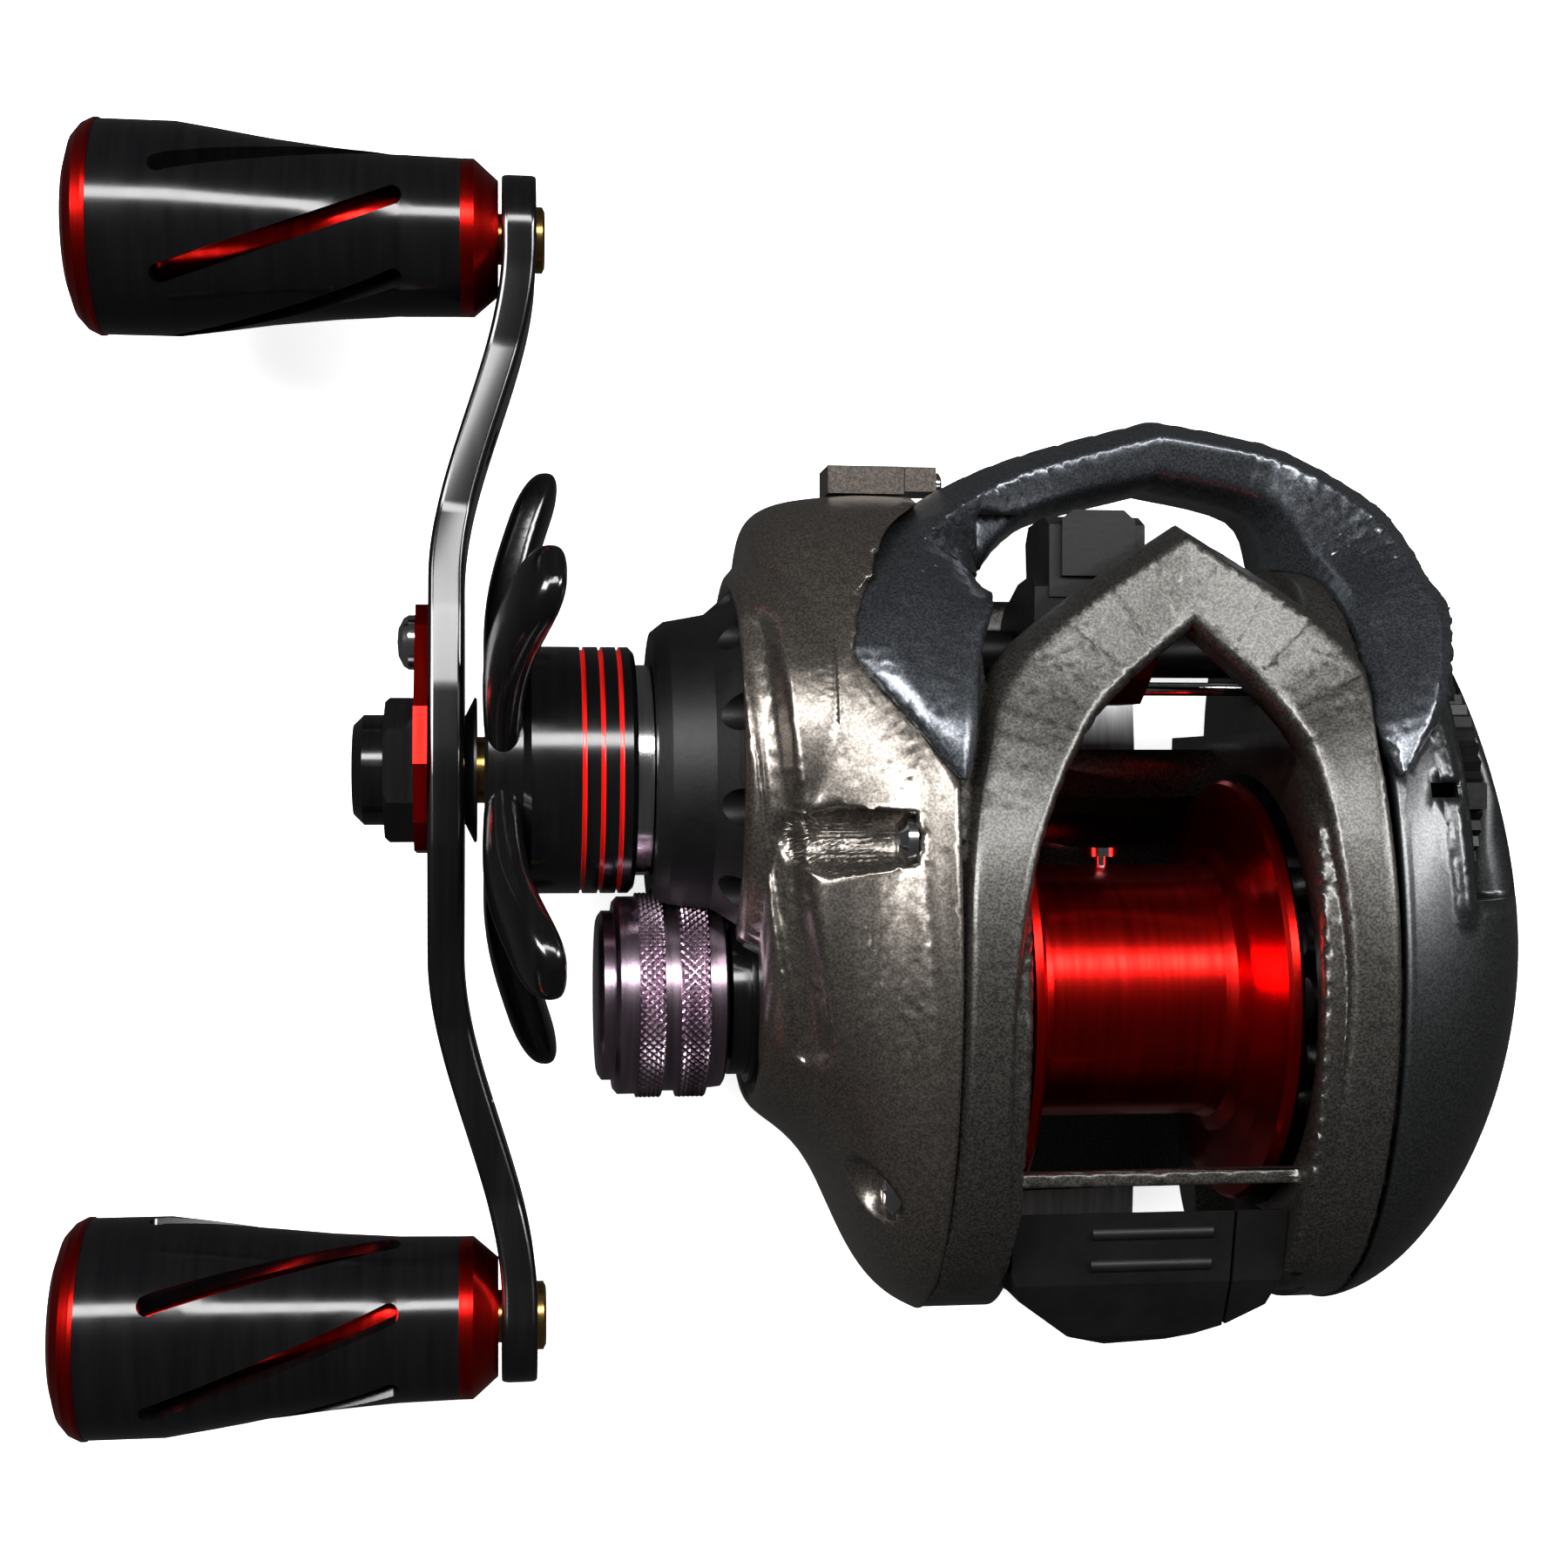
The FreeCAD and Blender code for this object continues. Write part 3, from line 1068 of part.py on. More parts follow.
def slant_slot(degrees, y, z):
    """A round-ended slanted slot pointing outward at the given angle round the knob."""
    angle = math.radians(20)
    half = 9.2
    radius = 0.72
    mid = -66.0
    tool = None
    box = Part.makeBox(2 * half, 2 * radius, 9, FreeCAD.Vector(-half, -radius, 3.0))
    ends = [Part.makeCylinder(radius, 9, FreeCAD.Vector(s * half, 0, 3.0)) for s in (-1, 1)]
    tool = box.fuse(ends[0]).fuse(ends[1])
    tool.rotate(FreeCAD.Vector(0, 0, 0), FreeCAD.Vector(0, 0, 1), math.degrees(angle))
    tool.rotate(FreeCAD.Vector(0, 0, 0), FreeCAD.Vector(1, 0, 0), degrees)
    tool.translate(FreeCAD.Vector(mid, y, z))
    return tool


def knob(name, side):
    y, z = knob_place(side)
    slotted_shell("knob_shell_" + name, side)
    keep("knob_outer_cap_" + name, turned("knob_outer_cap_" + name, [
        ("knob_tip", "0"), ("knob_tip + 0.05", "3.0"), ("knob_tip + 0.3", "5.6"), ("knob_tip + 0.8", "7.1"),
        ("knob_tip + 1.5", "7.9"), ("knob_cap - 0.3", "knob_wide + 0.1"), ("knob_cap", "knob_wide + 0.1"),
        ("knob_cap", "6.5"), ("knob_cap + 1.4", "6.5"), ("knob_cap + 1.4", "5.7"), ("knob_cap - 0.6", "5.5"),
        ("knob_cap - 0.9", "0"),
    ], y, z))
    keep("knob_inner_cap_" + name, turned("knob_inner_cap_" + name, [
        ("knob_in", "2.08"), ("knob_in", "4.5"), ("knob_in - 1.9", "knob_thin"), ("knob_neck", "knob_thin"),
        ("knob_neck", "4.8"), ("knob_neck - 1.2", "4.8"), ("knob_neck - 1.2", "4.05"), ("knob_in - 1.2", "4.05"),
        ("knob_in - 1.2", "2.08"),
    ], y, z))
    keep("knob_sleeve_" + name, turned("knob_sleeve_" + name, [
        ("knob_cap + 1.5", "5.4"), ("knob_cap + 9.5", "5.2"), ("knob_neck - 4.5", "4.7"), ("knob_neck - 1.3", "4.7"),
        ("knob_neck - 1.3", "4.05"), ("knob_cap + 1.5", "4.05"),
    ], y, z))


def knob_hardware():
    posts, races, screws = [], [], []
    for k, side in enumerate("+-"):
        y, z = knob_place(side)
        posts.append(turned("knob_post_%d" % k, [
            ("-76.6", "0"), ("-76.6", "post_rad"), ("-46.3", "post_rad"), ("-46.3", "2.6"), ("-45.8", "2.6"),
            ("-45.6", "2.2"), ("-45.6", "0"),
        ], y, z))
        races.append(bearing("race_in_%d" % k, "-53.4", "-51.4", "4.0", "2.02", y, z))
        races.append(bearing("race_out_%d" % k, "-76.4", "-74.4", "4.0", "2.02", y, z))
        screws.append(rod("knob_screw_%d" % k, "-77.8", "-76.6", "2.9", y, z))
    keep("knob_posts", group("knob_posts", *posts))
    keep("knob_bearings", group("knob_bearings", *races))
    keep("knob_screws", group("knob_screws", *screws))


def reel_foot():
    """Steel foot: a flat seat plate that thins toward two rounded toes for the rod's hoods."""
    outline = [("-6.75", "foot_rear + 4"), ("-5.6", "foot_rear + 1.2"), ("-3.2", "foot_rear"), ("3.2", "foot_rear"),
               ("5.6", "foot_rear + 1.2"), ("6.75", "foot_rear + 4"), ("6.75", "foot_front - 4"),
               ("5.6", "foot_front - 1.2"), ("3.2", "foot_front"), ("-3.2", "foot_front"),
               ("-5.6", "foot_front - 1.2"), ("-6.75", "foot_front - 4")]
    blank = slab("foot_blank", outline, "0", "foot_thick")
    profile = plate("foot_profile", [
        ("foot_rear", "0"), ("foot_front", "0"), ("foot_front", "0.9"), ("foot_front - 13", "foot_thick"),
        ("foot_rear + 13", "foot_thick"), ("foot_rear", "0.9"),
    ], "-7", "7")
    holes = [drilled("foot_hole_%d" % i, (str(x), str(y), "-1"), "1.05", "5", (0, 0, 1)) for i, (x, y) in enumerate(FOOT_SCREWS)]
    sinks = [drilled("foot_sink_%d" % i, (str(x), str(y), "-1"), "2.0", "1.75", (0, 0, 1)) for i, (x, y) in enumerate(FOOT_SCREWS)]
    return keep("reel_foot", cut("reel_foot", common("foot_body", blank, profile), *holes, *sinks))


FOOT_SCREWS = [(-4.2, -9.0), (4.2, -9.0), (-4.2, 11.2), (4.2, 11.2)]


def foot_screws():
    screws = []
    for i, (x, y) in enumerate(FOOT_SCREWS):
        head = drilled("foot_head_%d" % i, (str(x), str(y), "0.15"), "1.9", "0.6", (0, 0, 1))
        stem = drilled("foot_stem_%d" % i, (str(x), str(y), "0.7"), "1.0", "1.4", (0, 0, 1))
        recess = drilled("foot_recess_%d" % i, (str(x), str(y), "0"), "0.8", "0.45", (0, 0, 1))
        screws.append(cut("foot_screw_%d" % i, joined("foot_screw_body_%d" % i, head, stem), recess))
    return keep("foot_screws", group("foot_screws", *screws))


def hook_keeper():
    """Fold-out keeper on the front of the gear cover that a hook point is hung on."""
    base = block("keeper_block", ("-22.9", "-16.7"), ("39.95", "42.2"), ("12.0", "17.0"))
    keep("hook_keeper_base", cut("keeper_base", base, rod("base_bore", "-18.8", "-16", "0.55", "41.2", "13.3")))
    arm = block("keeper_flap", ("-16.6", "-14.0"), ("40.2", "42.2"), ("12.3", "16.8"))
    keep("hook_keeper_arm", cut("keeper_arm", arm, rod("arm_bore", "-17", "-13", "0.51", "41.2", "13.3")))
    pin = turned("keeper_pin", [
        ("-18.6", "0"), ("-18.6", "0.5"), ("-13.9", "0.5"), ("-13.9", "1.0"), ("-13.2", "1.0"), ("-13.0", "0.7"), ("-13.0", "0"),
    ], "41.2", "13.3")
    keep("hook_keeper_pin", pin)


main_frame()
front_hood()
gear_side_cover()
cover_screws()
drag_boss_cover()
tension_bush()
tension_knob()
palm_side_cover()
palm_inner_plate()
brake_dial()
brake_dial_axle()
brake_magnets()
spool()
spool_shaft()
line_pin()
brake_rotor()
bearings()
gear_train()
pinion_yoke()
yoke_posts()
yoke_springs()
thumb_bar()
thumb_guide_pin()
worm_shaft()
worm_shield()
guide_rod()
line_guide()
line_guide_insert()
line_guide_pawl()
drive_shaft()
drag_stack()
one_way_clutch()
star_drag()
star_fittings()
handle_arm()
handle_nut()
nut_retainer()
knob("front", "+")
knob("rear", "-")
knob_hardware()
reel_foot()
foot_screws()
hook_keeper()

doc.recompute()
for thing in doc.Objects:
    if "Invalid" in thing.State or "Error" in thing.State:
        raise RuntimeError(thing.Label + " did not rebuild: " + str(thing.State))
os.makedirs("parts", exist_ok=True)
for label, thing in NODES:
    if thing.Shape.isNull() or not thing.Shape.isValid():
        raise RuntimeError(label + " is not a sound solid")
    thing.Shape.exportStep("parts/" + label + ".step")
    print(label, len(thing.Shape.Solids), round(thing.Shape.Volume, 2))
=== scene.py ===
import json
import math
import bpy
import bmesh
from mathutils import Matrix, Vector


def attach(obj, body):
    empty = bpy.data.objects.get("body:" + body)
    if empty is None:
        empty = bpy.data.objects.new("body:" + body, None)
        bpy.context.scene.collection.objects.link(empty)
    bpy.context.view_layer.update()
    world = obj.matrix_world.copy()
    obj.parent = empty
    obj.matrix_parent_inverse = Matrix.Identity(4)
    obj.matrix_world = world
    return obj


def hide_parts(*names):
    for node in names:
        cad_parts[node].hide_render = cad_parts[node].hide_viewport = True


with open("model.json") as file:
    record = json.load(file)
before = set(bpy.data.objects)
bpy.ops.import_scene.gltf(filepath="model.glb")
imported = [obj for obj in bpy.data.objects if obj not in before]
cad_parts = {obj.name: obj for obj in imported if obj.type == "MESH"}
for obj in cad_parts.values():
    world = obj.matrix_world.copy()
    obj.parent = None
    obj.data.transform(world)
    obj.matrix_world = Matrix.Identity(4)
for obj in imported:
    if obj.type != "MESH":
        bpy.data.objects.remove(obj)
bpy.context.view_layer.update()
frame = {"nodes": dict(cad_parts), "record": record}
nodes = frame["nodes"]
scene = bpy.context.scene

# ------------------------------------------------------------------ camera
# It looks down on the reel, and leans toward the handle side. The place is in metres, the lens in mm.
LEAN = math.radians(7.3)
CAMERA_PLACE = (-0.0496, 0.0165, 0.1975)
FOCAL_LENGTH = 52.0
SENSOR_WIDTH = 36.0
camera_data = bpy.data.cameras.new("camera")
camera_data.lens = FOCAL_LENGTH
camera_data.sensor_width = SENSOR_WIDTH
camera_data.clip_start = 0.01
camera = bpy.data.objects.new("camera", camera_data)
scene.collection.objects.link(camera)
right = Vector((math.cos(LEAN), 0.0, math.sin(LEAN)))
up = Vector((0.0, 1.0, 0.0))
back = right.cross(up)
turn = Matrix((right, up, back)).transposed().to_4x4()
camera.matrix_world = Matrix.Translation(CAMERA_PLACE) @ turn
scene.camera = camera
scene.view_settings.view_transform = "Standard"


# ------------------------------------------------------------------ materials
def linear(value):
    """One 0-1 screen value as linear light."""
    return value / 12.92 if value <= 0.04045 else ((value + 0.055) / 1.055) ** 2.4


def colour(red, green, blue):
    """A colour read as 0-255 screen values."""
    return (linear(red / 255), linear(green / 255), linear(blue / 255), 1.0)


class Shader:
    """A node material built up step by step."""

    def __init__(self, name):
        self.material = bpy.data.materials.new(name)
        self.material.use_nodes = True
        self.tree = self.material.node_tree
        self.bsdf = self.tree.nodes["Principled BSDF"]
        self.coords = self.tree.nodes.new("ShaderNodeTexCoord").outputs["Object"]

    def set(self, **sockets):
        """Fixed values of the surface's inputs, with _ for a space."""
        for name, value in sockets.items():
            self.bsdf.inputs[name.replace("_", " ")].default_value = value

    def node(self, kind, **values):
        """A new node with values for its inputs or its own settings."""
        made = self.tree.nodes.new(kind)
        for name, value in values.items():
            if name in made.inputs:
                made.inputs[name].default_value = value
            else:
                setattr(made, name, value)
        return made

    def link(self, out, socket):
        self.tree.links.new(out, socket)

    def noise(self, scale, detail, stretch=(1.0, 1.0, 1.0)):
        mapping = self.node("ShaderNodeMapping")
        mapping.inputs["Scale"].default_value = stretch
        self.link(self.coords, mapping.inputs["Vector"])
        noise = self.node("ShaderNodeTexNoise", Scale=scale, Detail=detail)
        self.link(mapping.outputs["Vector"], noise.inputs["Vector"])
        return noise.outputs["Fac"]

    def ramp(self, factor, stops):
        """Colours read off a run of (place, colour) stops."""
        ramp = self.node("ShaderNodeValToRGB")
        elements = ramp.color_ramp.elements
        while len(elements) < len(stops):
            elements.new(0.5)
        for element, (place, tint) in zip(elements, stops):
            element.position = place
            element.color = tint
        self.link(factor, ramp.inputs["Fac"])
        return ramp.outputs["Color"]

    def span(self, factor, low, high):
        """A 0-1 factor spread over low to high."""
        span = self.node("ShaderNodeMapRange")
        span.inputs["To Min"].default_value = low
        span.inputs["To Max"].default_value = high
        self.link(factor, span.inputs["Value"])
        return span.outputs["Result"]

    def tint(self, factor, dark, light, low=0.35, high=0.65):
        self.link(self.ramp(factor, [(low, dark), (high, light)]), self.bsdf.inputs["Base Color"])

    def roughness(self, factor, low, high):
        self.link(self.span(factor, low, high), self.bsdf.inputs["Roughness"])

    def bump(self, height, strength, distance):
        bump = self.node("ShaderNodeBump", Strength=strength, Distance=distance)
        self.link(height, bump.inputs["Height"])
        self.link(bump.outputs["Normal"], self.bsdf.inputs["Normal"])


def flake_paint(name, dark, light, rough, grain, metallic=0.75):
    """Metallic paint: fine bright flakes under a satin coat, with a slight orange peel."""
    shader = Shader(name)
    shader.set(Metallic=metallic, Coat_Weight=0.35, Coat_Roughness=0.22)
    shader.tint(shader.noise(5200.0, 2.0), dark, light, 0.38, 0.66)
    shader.roughness(shader.noise(900.0, 2.0), rough - 0.05, rough + 0.06)
    shader.bump(shader.noise(grain, 3.0), 0.22, 0.00004)
    return shader.material


def plain_metal(name, dark, light, rough, stretch, scale=1800.0, metallic=1.0, strength=0.12, coat=0.0):
    """Machined or anodised metal with fine tool lines along one direction."""
    shader = Shader(name)
    shader.set(Metallic=metallic, Coat_Weight=coat, Coat_Roughness=0.1)
    lines = shader.noise(scale, 3.0, stretch)
    shader.tint(lines, dark, light, 0.3, 0.7)
    shader.roughness(shader.noise(700.0, 2.0, stretch), rough - 0.04, rough + 0.05)
    shader.bump(lines, strength, 0.00002)
    return shader.material


def moulding(name, dark, light, rough, grain, strength=0.25):
    """Moulded or matte painted surface with a fine grain."""
    shader = Shader(name)
    shader.set(Specular_IOR_Level=0.25)
    shader.tint(shader.noise(260.0, 3.0), dark, light)
    shader.roughness(shader.noise(1500.0, 2.0), rough - 0.06, rough + 0.06)
    shader.bump(shader.noise(grain, 2.0), strength, 0.00004)
    return shader.material


def grooved(name, dark, light, rough, places, half_width, ring_colour):
    """Gloss black with anodised lines turned into it at the given values of x."""
    shader = Shader(name)
    shader.set(Coat_Weight=0.1, Coat_Roughness=0.08)
    along = shader.node("ShaderNodeSeparateXYZ")
    shader.link(shader.coords, along.inputs["Vector"])
    total = None
    for place in places:
        line = shader.node("ShaderNodeMath", operation="COMPARE")
        shader.link(along.outputs["X"], line.inputs[0])
        line.inputs[1].default_value = place
        line.inputs[2].default_value = half_width
        if total is None:
            total = line.outputs[0]
            continue
        add = shader.node("ShaderNodeMath", operation="ADD", use_clamp=True)
        shader.link(total, add.inputs[0])
        shader.link(line.outputs[0], add.inputs[1])
        total = add.outputs[0]
    base = shader.ramp(shader.noise(1600.0, 3.0, TURNED), [(0.3, dark), (0.7, light)])
    mix = shader.node("ShaderNodeMix", data_type="RGBA")
    shader.link(total, mix.inputs["Factor"])
    shader.link(base, mix.inputs[6])
    mix.inputs[7].default_value = ring_colour
    shader.link(mix.outputs[2], shader.bsdf.inputs["Base Color"])
    shader.roughness(shader.noise(700.0, 2.0), rough - 0.03, rough + 0.05)
    return shader.material


# How tool lines are drawn out: round a piece that is turned about X, and along Y on a flat one.
TURNED = (1.0, 0.06, 0.06)
BRUSHED = (1.0, 0.05, 1.0)
# Each finish: its maker, its dark and light colour, its roughness, then what else the maker takes.
FINISHES = {
    "frame_paint": (flake_paint, (42, 41, 39), (76, 74, 70), 0.4, 2300.0, 0.8),
    "gear_cover_paint": (flake_paint, (84, 79, 74), (122, 116, 109), 0.3, 1500.0, 0.9),
    "hood_paint": (flake_paint, (58, 61, 65), (92, 95, 100), 0.32, 1400.0, 0.88),
    "palm_paint": (flake_paint, (40, 41, 42), (62, 63, 64), 0.34, 1500.0, 0.85),
    "foot_steel": (plain_metal, (150, 150, 150), (184, 184, 184), 0.3, BRUSHED),
    "matte_black": (moulding, (6, 6, 7), (11, 11, 12), 0.46, 2600.0),
    "gloss_black": (plain_metal, (5, 5, 6), (10, 10, 11), 0.16, TURNED, 1600.0, 0.0, 0.05, 0.1),
    "black_plastic": (moulding, (6, 6, 7), (11, 11, 12), 0.36, 2200.0),
    "red_anodised": (plain_metal, (168, 12, 10), (206, 26, 20), 0.24, TURNED),
    "mauve_anodised": (plain_metal, (132, 112, 128), (174, 154, 168), 0.26, TURNED),
    "bright_steel": (plain_metal, (198, 198, 200), (226, 226, 228), 0.14, TURNED),
    "inner_steel": (plain_metal, (150, 150, 152), (180, 180, 182), 0.26, TURNED),
    "brass": (plain_metal, (150, 116, 60), (184, 148, 84), 0.24, TURNED),
    "plain_aluminium": (plain_metal, (150, 151, 154), (182, 183, 186), 0.28, TURNED),
    "ivory_plastic": (moulding, (206, 200, 182), (222, 216, 200), 0.42, 1800.0),
    "ceramic": (moulding, (222, 221, 216), (236, 235, 231), 0.14, 1200.0, 0.05),
    "carbon": (moulding, (22, 22, 23), (46, 46, 48), 0.36, 900.0),
    "keeper_metal": (flake_paint, (52, 47, 43), (80, 73, 68), 0.36, 1600.0),
}
looks = {}
for name, (maker, dark, light, *rest) in FINISHES.items():
    looks[name] = maker(name, colour(*dark), colour(*light), *rest)
# The red lines turned into the star drag's hub, in metres along X.
STAR_LINES = (-0.04005, -0.04145, -0.04285)
LINE_HALF_WIDTH = 0.00017
star_look = grooved("star_black", colour(5, 5, 6), colour(10, 10, 11), 0.16, STAR_LINES, LINE_HALF_WIDTH,
                    colour(214, 24, 18))
slot_of = {part["node"]: part["material_slot"] for part in frame["record"]["subparts"]}
for name, node in nodes.items():
    node.data.materials.clear()
    node.data.materials.append(star_look if name == "star_drag" else looks[slot_of[name]])


# ------------------------------------------------------------------ modelled pieces
def added(name, mesh, body, slot, stands_for, smooth):
    """A new piece that rides on a body, has a slot's finish and stands for a CAD node. Its edges
    are sharp above the angle smooth, in degrees."""
    piece = bpy.data.objects.new(name, mesh)
    scene.collection.objects.link(piece)
    mesh.materials.clear()
    mesh.materials.append(looks[slot])
    mesh.shade_smooth()
    mesh.set_sharp_from_angle(angle=math.radians(smooth))
    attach(piece, body)
    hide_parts(stands_for)


def triangle(t):
    """0 at whole numbers and 1 half way between them."""
    return 1.0 - abs(2.0 * (t % 1.0) - 1.0)


def tension_knob():
    """The knob turned with its steps, and two bands of real diamond knurling, in mm from its tip."""
    tip, axis_z, bore, rim = -41.7, 20.0, 5.56, 9.8
    teeth, around, pitch, depth, crest, spacing = 72, 432, 0.68, 0.30, 1.35, 0.11
    knurl = 8.0
    front = [(0.0, 0.0), (0.0, 3.0), (0.0, 5.9), (0.1, 6.2), (0.4, 6.6), (1.2, 6.6), (1.25, 7.3), (1.6, 7.7),
             (3.0, 7.7)]
    back = [(9.6, 7.2), (rim, 6.9), (rim, bore), (2.4, bore), (2.4, 0.0)]
    # Each band: where its knurling starts and ends, then the radius of the plain neck after it and
    # where that neck's rings lie. Each row: its place, its radius and whether it is knurled.
    bands = [(3.05, 4.95, 7.5, (4.98, 5.45, 6.1)), (6.15, 8.35, 7.3, (8.38, 8.85))]
    rows = [(x, radius, False) for x, radius in front]
    for start, end, neck, neck_ends in bands:
        steps = round((end - start) / spacing)
        rows += [(start + (end - start) * i / steps, knurl, True) for i in range(steps + 1)]
        rows += [(x, neck, False) for x in neck_ends]
    rows += [(x, radius, False) for x, radius in back]
    made = bmesh.new()
    rings = []
    for x, radius, knurled in rows:
        if radius == 0.0:
            rings.append([made.verts.new(((tip + x) / 1000, 0.0, axis_z / 1000))])
            continue
        ring = []
        for k in range(around):
            angle = 2 * math.pi * k / around
            reach = radius
            if knurled:
                cell = teeth * k / around
                ridge = min(triangle(cell + x / pitch), triangle(cell - x / pitch))
                reach = radius - depth * (1.0 - min(1.0, crest * ridge))
            across = reach * math.cos(angle)
            above = axis_z + reach * math.sin(angle)
            ring.append(made.verts.new(((tip + x) / 1000, across / 1000, above / 1000)))
        rings.append(ring)
    for low, high in zip(rings, rings[1:]):
        for k in range(around):
            after = (k + 1) % around
            if len(low) == 1:
                made.faces.new((low[0], high[after], high[k]))
            elif len(high) == 1:
                made.faces.new((low[k], low[after], high[0]))
            else:
                made.faces.new((low[k], low[after], high[after], high[k]))
    bmesh.ops.recalc_face_normals(made, faces=made.faces)
    mesh = bpy.data.meshes.new("tension_knob_knurled")
    made.to_mesh(mesh)
    made.free()
    added("tension_knob_knurled", mesh, "tension", "mauve_anodised", "tension_knob", 28)


def between(value, stops):
    """Value read off a run of (place, height) stops."""
    if value <= stops[0][0]:
        return stops[0][1]
    for (low, first), (high, second) in zip(stops, stops[1:]):
        if value <= high:
            return first + (second - first) * (value - low) / (high - low)
    return stops[-1][1]


def offset(x, y, line):
    """Distance in plan from a line given from front to rear, positive towards +X."""
    best, signed = 1e9, 0.0
    for (ax, ay), (bx, by) in zip(line, line[1:]):
        dx, dy = bx - ax, by - ay
        t = max(0.0, min(1.0, ((x - ax) * dx + (y - ay) * dy) / (dx * dx + dy * dy)))
        away = math.hypot(x - ax - t * dx, y - ay - t * dy)
        if away < best:
            best = away
            signed = away if dx * (y - ay) - dy * (x - ax) > 0 else -away
    return signed


def reaches(edge, lift):
    """Whether an upper edge of the mesh runs through a place that is to be raised or sunk."""
    if not edge.link_faces or max(face.normal.z for face in edge.link_faces) < 0.1:
        return False
    start, end = edge.verts[0].co, edge.verts[1].co
    return any(lift(*(1000 * start.lerp(end, part))) for part in (0.0, 0.25, 0.5, 0.75, 1.0))


# Points closer than this in metres are one point, edges folded by less than this in radians may be
# turned round, and long edges are halved at most this often.
WELD = 2e-6
NEARLY_FLAT = 0.12
PASSES = 8


def copied(node, lift, longest=0.0005, smooth=50, rounds=4):
    """A smooth-shaded copy of a piece of the shell. lift(x, y, z) in mm raises or sinks its upper
    faces, whose edges are first split down to longest metres; they are then eased a few rounds."""
    made = bmesh.new()
    made.from_mesh(nodes[node].data)
    bmesh.ops.remove_doubles(made, verts=made.verts, dist=WELD)
    for _ in range(PASSES):
        made.normal_update()
        split = [edge for edge in made.edges if edge.calc_length() > longest and reaches(edge, lift)]
        if not split:
            break
        bmesh.ops.subdivide_edges(made, edges=split, cuts=1)
        bmesh.ops.triangulate(made, faces=[f for f in made.faces if len(f.verts) > 3])
        short = [e for e in made.edges if e.calc_length() < 2 * longest and len(e.link_faces) == 2
                 and e.calc_face_angle() < NEARLY_FLAT]
        bmesh.ops.beautify_fill(made, faces=list({f for e in short for f in e.link_faces}), edges=short)
    made.normal_update()
    moves = []
    for vert in made.verts:
        facing_up = between(vert.normal.z, [(0.1, 0.0), (0.4, 1.0)])
        move = lift(*(1000 * vert.co)) * facing_up
        if move:
            moves.append((vert, move))
    for vert, move in moves:
        vert.co.z += move / 1000
    for _ in range(rounds):
        bmesh.ops.smooth_vert(made, verts=[vert for vert, _ in moves], factor=0.4, use_axis_z=True)
    name = node + "_finished"
    mesh = bpy.data.meshes.new(name)
    made.to_mesh(mesh)
    made.free()
    added(name, mesh, "reel_body", slot_of[node], node, smooth)


# Lines on the two side covers, in plan, in mm, from front to rear.
GROOVE = [(-30.4, 28.0), (-30.1, 24.6), (-29.2, 16.7), (-28.2, 7.4), (-27.0, 1.0), (-26.4, -3.0)]
FOLD = [(-24.2, 29.0), (-24.9, 25.2), (-26.1, 18.6), (-26.3, 14.2), (-26.1, 7.6), (-25.8, 1.3), (-25.2, -5.0)]
RIB = [(20.6, 25.0), (21.2, 16.0), (21.7, 5.0)]
SHOULDER = [(-19.9, 22.0), (-19.4, 16.0), (-19.0, 7.9), (-18.6, 4.4), (-18.0, -8.0), (-17.4, -20.0)]
# A lift too small to see: it has faces split and eased without raising them.
TRACE = 1e-6


def gear_cover_lift(x, y, z):
    """A sunk groove beside the drag boss, a fold, a flat and a bright slope up to the shoulder line."""
    if z < 24.0 or x > -17.2:
        return 0.0
    from_groove = offset(x, y, GROOVE)
    sunk = between(from_groove, [(-1.3, 0.0), (-0.8, -0.8), (0.75, -0.8), (1.2, 0.0)])
    beyond = between(from_groove, [(0.75, 0.0), (1.2, 1.0)])
    across = [(-3.0, 1.1), (0.0, 1.0), (1.9, 0.26), (3.8, -0.17), (5.6, -0.17), (7.0, 0.1), (8.2, 0.0)]
    raised = between(offset(x, y, FOLD), across)
    along = between(y, [(-9.0, 0.0), (-2.0, 1.0), (25.0, 1.0), (33.0, 0.0)])
    shoulder = between(offset(x, y, SHOULDER), [(-2.0, 0.0), (0.0, 0.3), (1.6, 0.0)])
    shoulder_along = between(y, [(-22.0, 0.0), (-16.0, 1.0), (17.0, 1.0), (22.0, 0.0)])
    return along * (sunk + beyond * raised) + shoulder * shoulder_along


def palm_cover_lift(x, y, z):
    """A narrow rib along the shoulder."""
    rib = between(offset(x, y, RIB), [(-0.9, 0.0), (-0.4, 0.6), (0.4, 0.6), (0.9, 0.0)])
    return rib * between(y, [(5.5, 0.0), (7.5, 1.0), (23.0, 1.0), (25.0, 0.0)]) if z > 30.0 else 0.0


def arch_easing(x, y, z):
    """The frame above this height is only eased."""
    return TRACE if z > 29.0 else 0.0


def hood_easing(x, y, z):
    """The hood above this height is only eased."""
    return TRACE if z > 9.0 else 0.0


def loft(rings):
    """A closed mesh through rings of points in mm."""
    made = bmesh.new()
    rows = [[made.verts.new(Vector(point) / 1000) for point in ring] for ring in rings]
    for low, high in zip(rows, rows[1:]):
        for k in range(len(low)):
            after = (k + 1) % len(low)
            made.faces.new((low[k], low[after], high[after], high[k]))
    made.faces.new(rows[0])
    made.faces.new(rows[-1][::-1])
    bmesh.ops.recalc_face_normals(made, faces=made.faces)
    return made


# The handle's axis runs along X through this point, and the bar stands a little off level.
HANDLE_AXIS = (0.0, 0.0176, 0.0185)
HANDLE_TILT = math.radians(-3.497)
EYE_AT, EYE_RADIUS = 42.3, 5.0
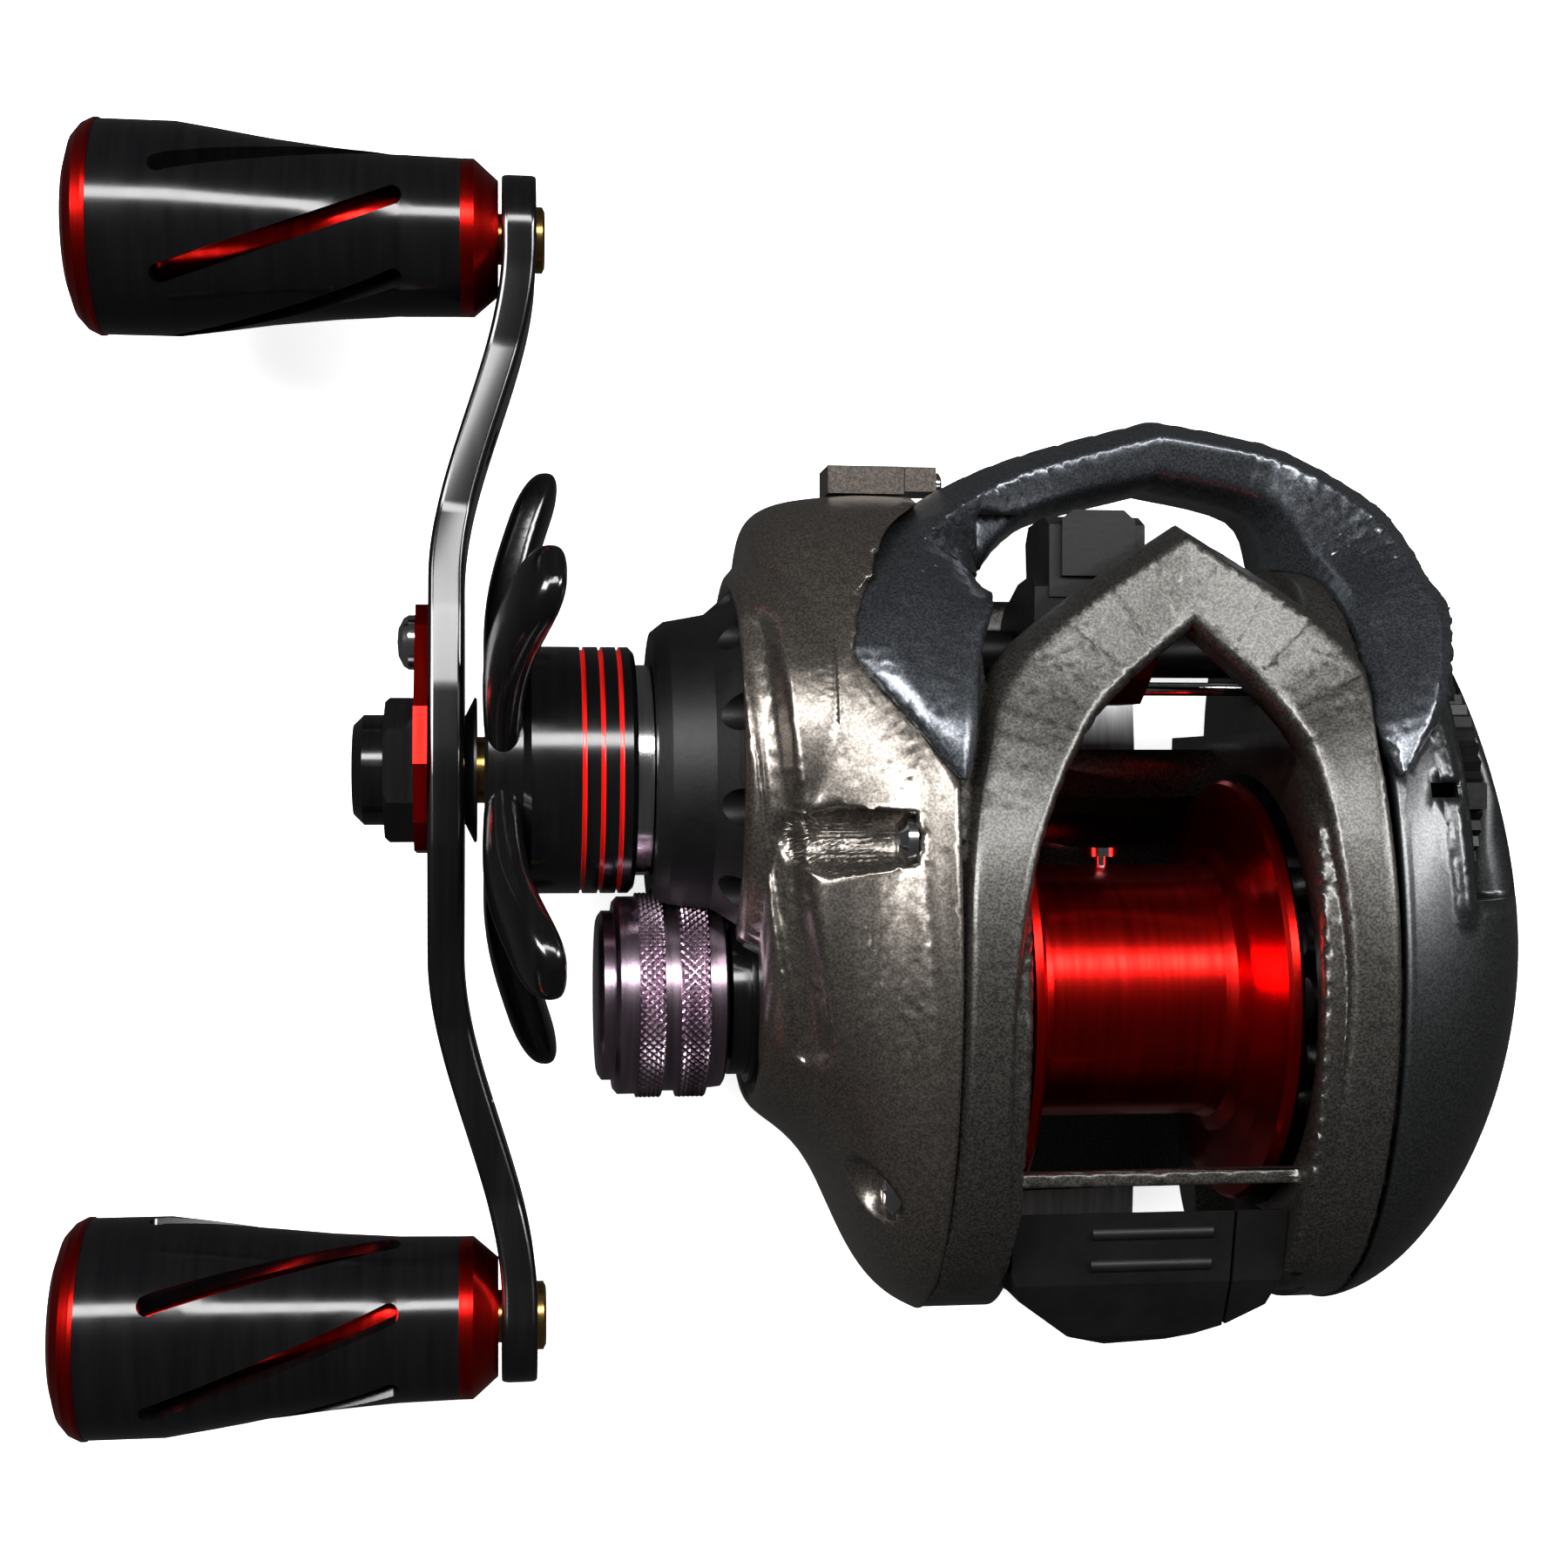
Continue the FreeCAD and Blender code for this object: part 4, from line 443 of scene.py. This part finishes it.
# Holes through the bar, as place and radius: shaft, two knob posts, two open holes, retainer screw.
BAR_HOLES = [(0.0, 2.66), (EYE_AT, 2.02), (-EYE_AT, 2.02), (25.5, 1.5), (-25.5, 1.5), (10.0, 1.05)]


def bar_section(x, y, thick, wide, rounding):
    """A ring of points round the bar at y, with four rounded corners."""
    ring = []
    for corner in range(4):
        side_x = 1 if corner in (0, 3) else -1
        side_z = 1 if corner < 2 else -1
        for part in range(5):
            angle = math.radians(90 * corner + 22.5 * part)
            ring.append((x + side_x * (thick - rounding) + rounding * math.cos(angle), y,
                         side_z * (wide - rounding) + rounding * math.sin(angle)))
    return ring


def bar_mesh():
    """The bar with its bends drawn out smoothly and its edges rounded, in mm along Y."""
    middle, tips, half_thick, edge, reach = -53.25, -47.65, 1.35, 0.5, 47.3
    widths = [(0.0, 6.6), (6.0, 6.3), (12.0, 5.6), (20.0, 4.3), (33.0, 4.1), (39.0, 4.6),
              (EYE_AT, EYE_RADIUS)]
    # The stations are closer together toward the round tips.
    stations = [-reach + 0.02 * k * k for k in range(1, 12)] + [-44.5 + 0.5 * k for k in range(89)]
    stations += [-station for station in stations[::-1][1:]]
    rings = []
    for station in stations:
        away = abs(station)
        bend = between(away, [(14.5, 0.0), (40.7, 1.0)])
        x = middle + (tips - middle) * bend * bend * (3 - 2 * bend)
        if away < EYE_AT:
            wide = between(away, widths)
        else:
            wide = math.sqrt(max(0.0, EYE_RADIUS ** 2 - (away - EYE_AT) ** 2))
        inside = min(edge, reach - away)
        thick = half_thick - edge + math.sqrt(max(0.0, edge ** 2 - (edge - inside) ** 2))
        rings.append(bar_section(x, station, thick, wide, min(edge, 0.8 * thick, 0.8 * wide)))
    made = loft(rings)
    mesh = bpy.data.meshes.new("handle_bar")
    made.to_mesh(mesh)
    made.free()
    return mesh


def holes_mesh():
    """The cylinders that are cut out of the bar."""
    made = bmesh.new()
    for y, radius in BAR_HOLES:
        at = Matrix.Translation((-0.05, y / 1000, 0.0)) @ Matrix.Rotation(math.radians(90), 4, "Y")
        bmesh.ops.create_cone(made, cap_ends=True, segments=48, radius1=radius / 1000,
                              radius2=radius / 1000, depth=0.02, matrix=at)
    mesh = bpy.data.meshes.new("handle_bores")
    made.to_mesh(mesh)
    made.free()
    return mesh


def handle_arm():
    """The bar with its holes bored, set on the handle's axis."""
    bar = bpy.data.objects.new("handle_bar", bar_mesh())
    tool = bpy.data.objects.new("handle_bores", holes_mesh())
    for thing in (bar, tool):
        scene.collection.objects.link(thing)
    boolean = bar.modifiers.new("bores", "BOOLEAN")
    boolean.operation = "DIFFERENCE"
    boolean.object = tool
    bored = bpy.data.meshes.new_from_object(bar.evaluated_get(bpy.context.evaluated_depsgraph_get()))
    for thing in (bar, tool):
        bpy.data.objects.remove(thing)
    bored.transform(Matrix.Translation(HANDLE_AXIS) @ Matrix.Rotation(HANDLE_TILT, 4, "X"))
    added("handle_arm_curved", bored, "handle", "gloss_black", "handle_arm", 32)


copied("main_frame", arch_easing, longest=0.0007)
copied("front_hood", hood_easing, longest=0.0008)
copied("gear_side_cover", gear_cover_lift)
copied("palm_side_cover", palm_cover_lift, smooth=45, rounds=3)
handle_arm()
tension_knob()


# ------------------------------------------------------------------ floor and light
FLOOR_HALF = 3.0
FLOOR_HEIGHT = -0.0006


def floor():
    """A wide white floor just under the foot, which doesn't light the reel or show in it."""
    mesh = bpy.data.meshes.new("floor")
    corners = [(-FLOOR_HALF, -FLOOR_HALF, 0), (FLOOR_HALF, -FLOOR_HALF, 0), (FLOOR_HALF, FLOOR_HALF, 0),
               (-FLOOR_HALF, FLOOR_HALF, 0)]
    mesh.from_pydata(corners, [], [(0, 1, 2, 3)])
    plane = bpy.data.objects.new("floor", mesh)
    plane.location.z = FLOOR_HEIGHT
    scene.collection.objects.link(plane)
    shader = Shader("floor")
    shader.set(Base_Color=(0.9, 0.9, 0.9, 1.0), Roughness=0.7, Specular_IOR_Level=0.2)
    shader.set(Emission_Color=(1.0, 1.0, 1.0, 1.0), Emission_Strength=0.8)
    plane.data.materials.append(shader.material)
    plane.visible_glossy = False
    plane.visible_diffuse = False


TARGET = Vector((-0.02, 0.01, 0.02))


def softbox(name, place, width, height, power):
    """A soft rectangular light of this power in watts that faces the middle of the reel."""
    data = bpy.data.lights.new(name, "AREA")
    data.shape = "RECTANGLE"
    data.size = width
    data.size_y = height
    data.energy = power
    lamp = bpy.data.objects.new(name, data)
    lamp.location = place
    lamp.rotation_euler = (TARGET - Vector(place)).to_track_quat("-Z", "Y").to_euler()
    scene.collection.objects.link(lamp)


def surroundings():
    """A faint even fill on the object, and a pale backdrop where the camera looks past the floor."""
    world = bpy.data.worlds.new("world")
    world.use_nodes = True
    tree = world.node_tree
    fill = tree.nodes["Background"]
    fill.inputs["Color"].default_value = (1.0, 1.0, 1.0, 1.0)
    fill.inputs["Strength"].default_value = 0.045
    backdrop = tree.nodes.new("ShaderNodeBackground")
    backdrop.inputs["Color"].default_value = (0.9, 0.9, 0.9, 1.0)
    rays = tree.nodes.new("ShaderNodeLightPath")
    choice = tree.nodes.new("ShaderNodeMixShader")
    tree.links.new(rays.outputs["Is Camera Ray"], choice.inputs["Fac"])
    tree.links.new(fill.outputs["Background"], choice.inputs[1])
    tree.links.new(backdrop.outputs["Background"], choice.inputs[2])
    tree.links.new(choice.outputs["Shader"], tree.nodes["World Output"].inputs["Surface"])
    scene.world = world


floor()
softbox("front_top", (-0.02, 0.30, 0.56), 0.60, 0.12, 4.0)
softbox("left", (-0.42, 0.20, 0.46), 0.20, 0.36, 6.0)
softbox("right", (0.44, 0.20, 0.40), 0.12, 0.36, 3.6)
surroundings()
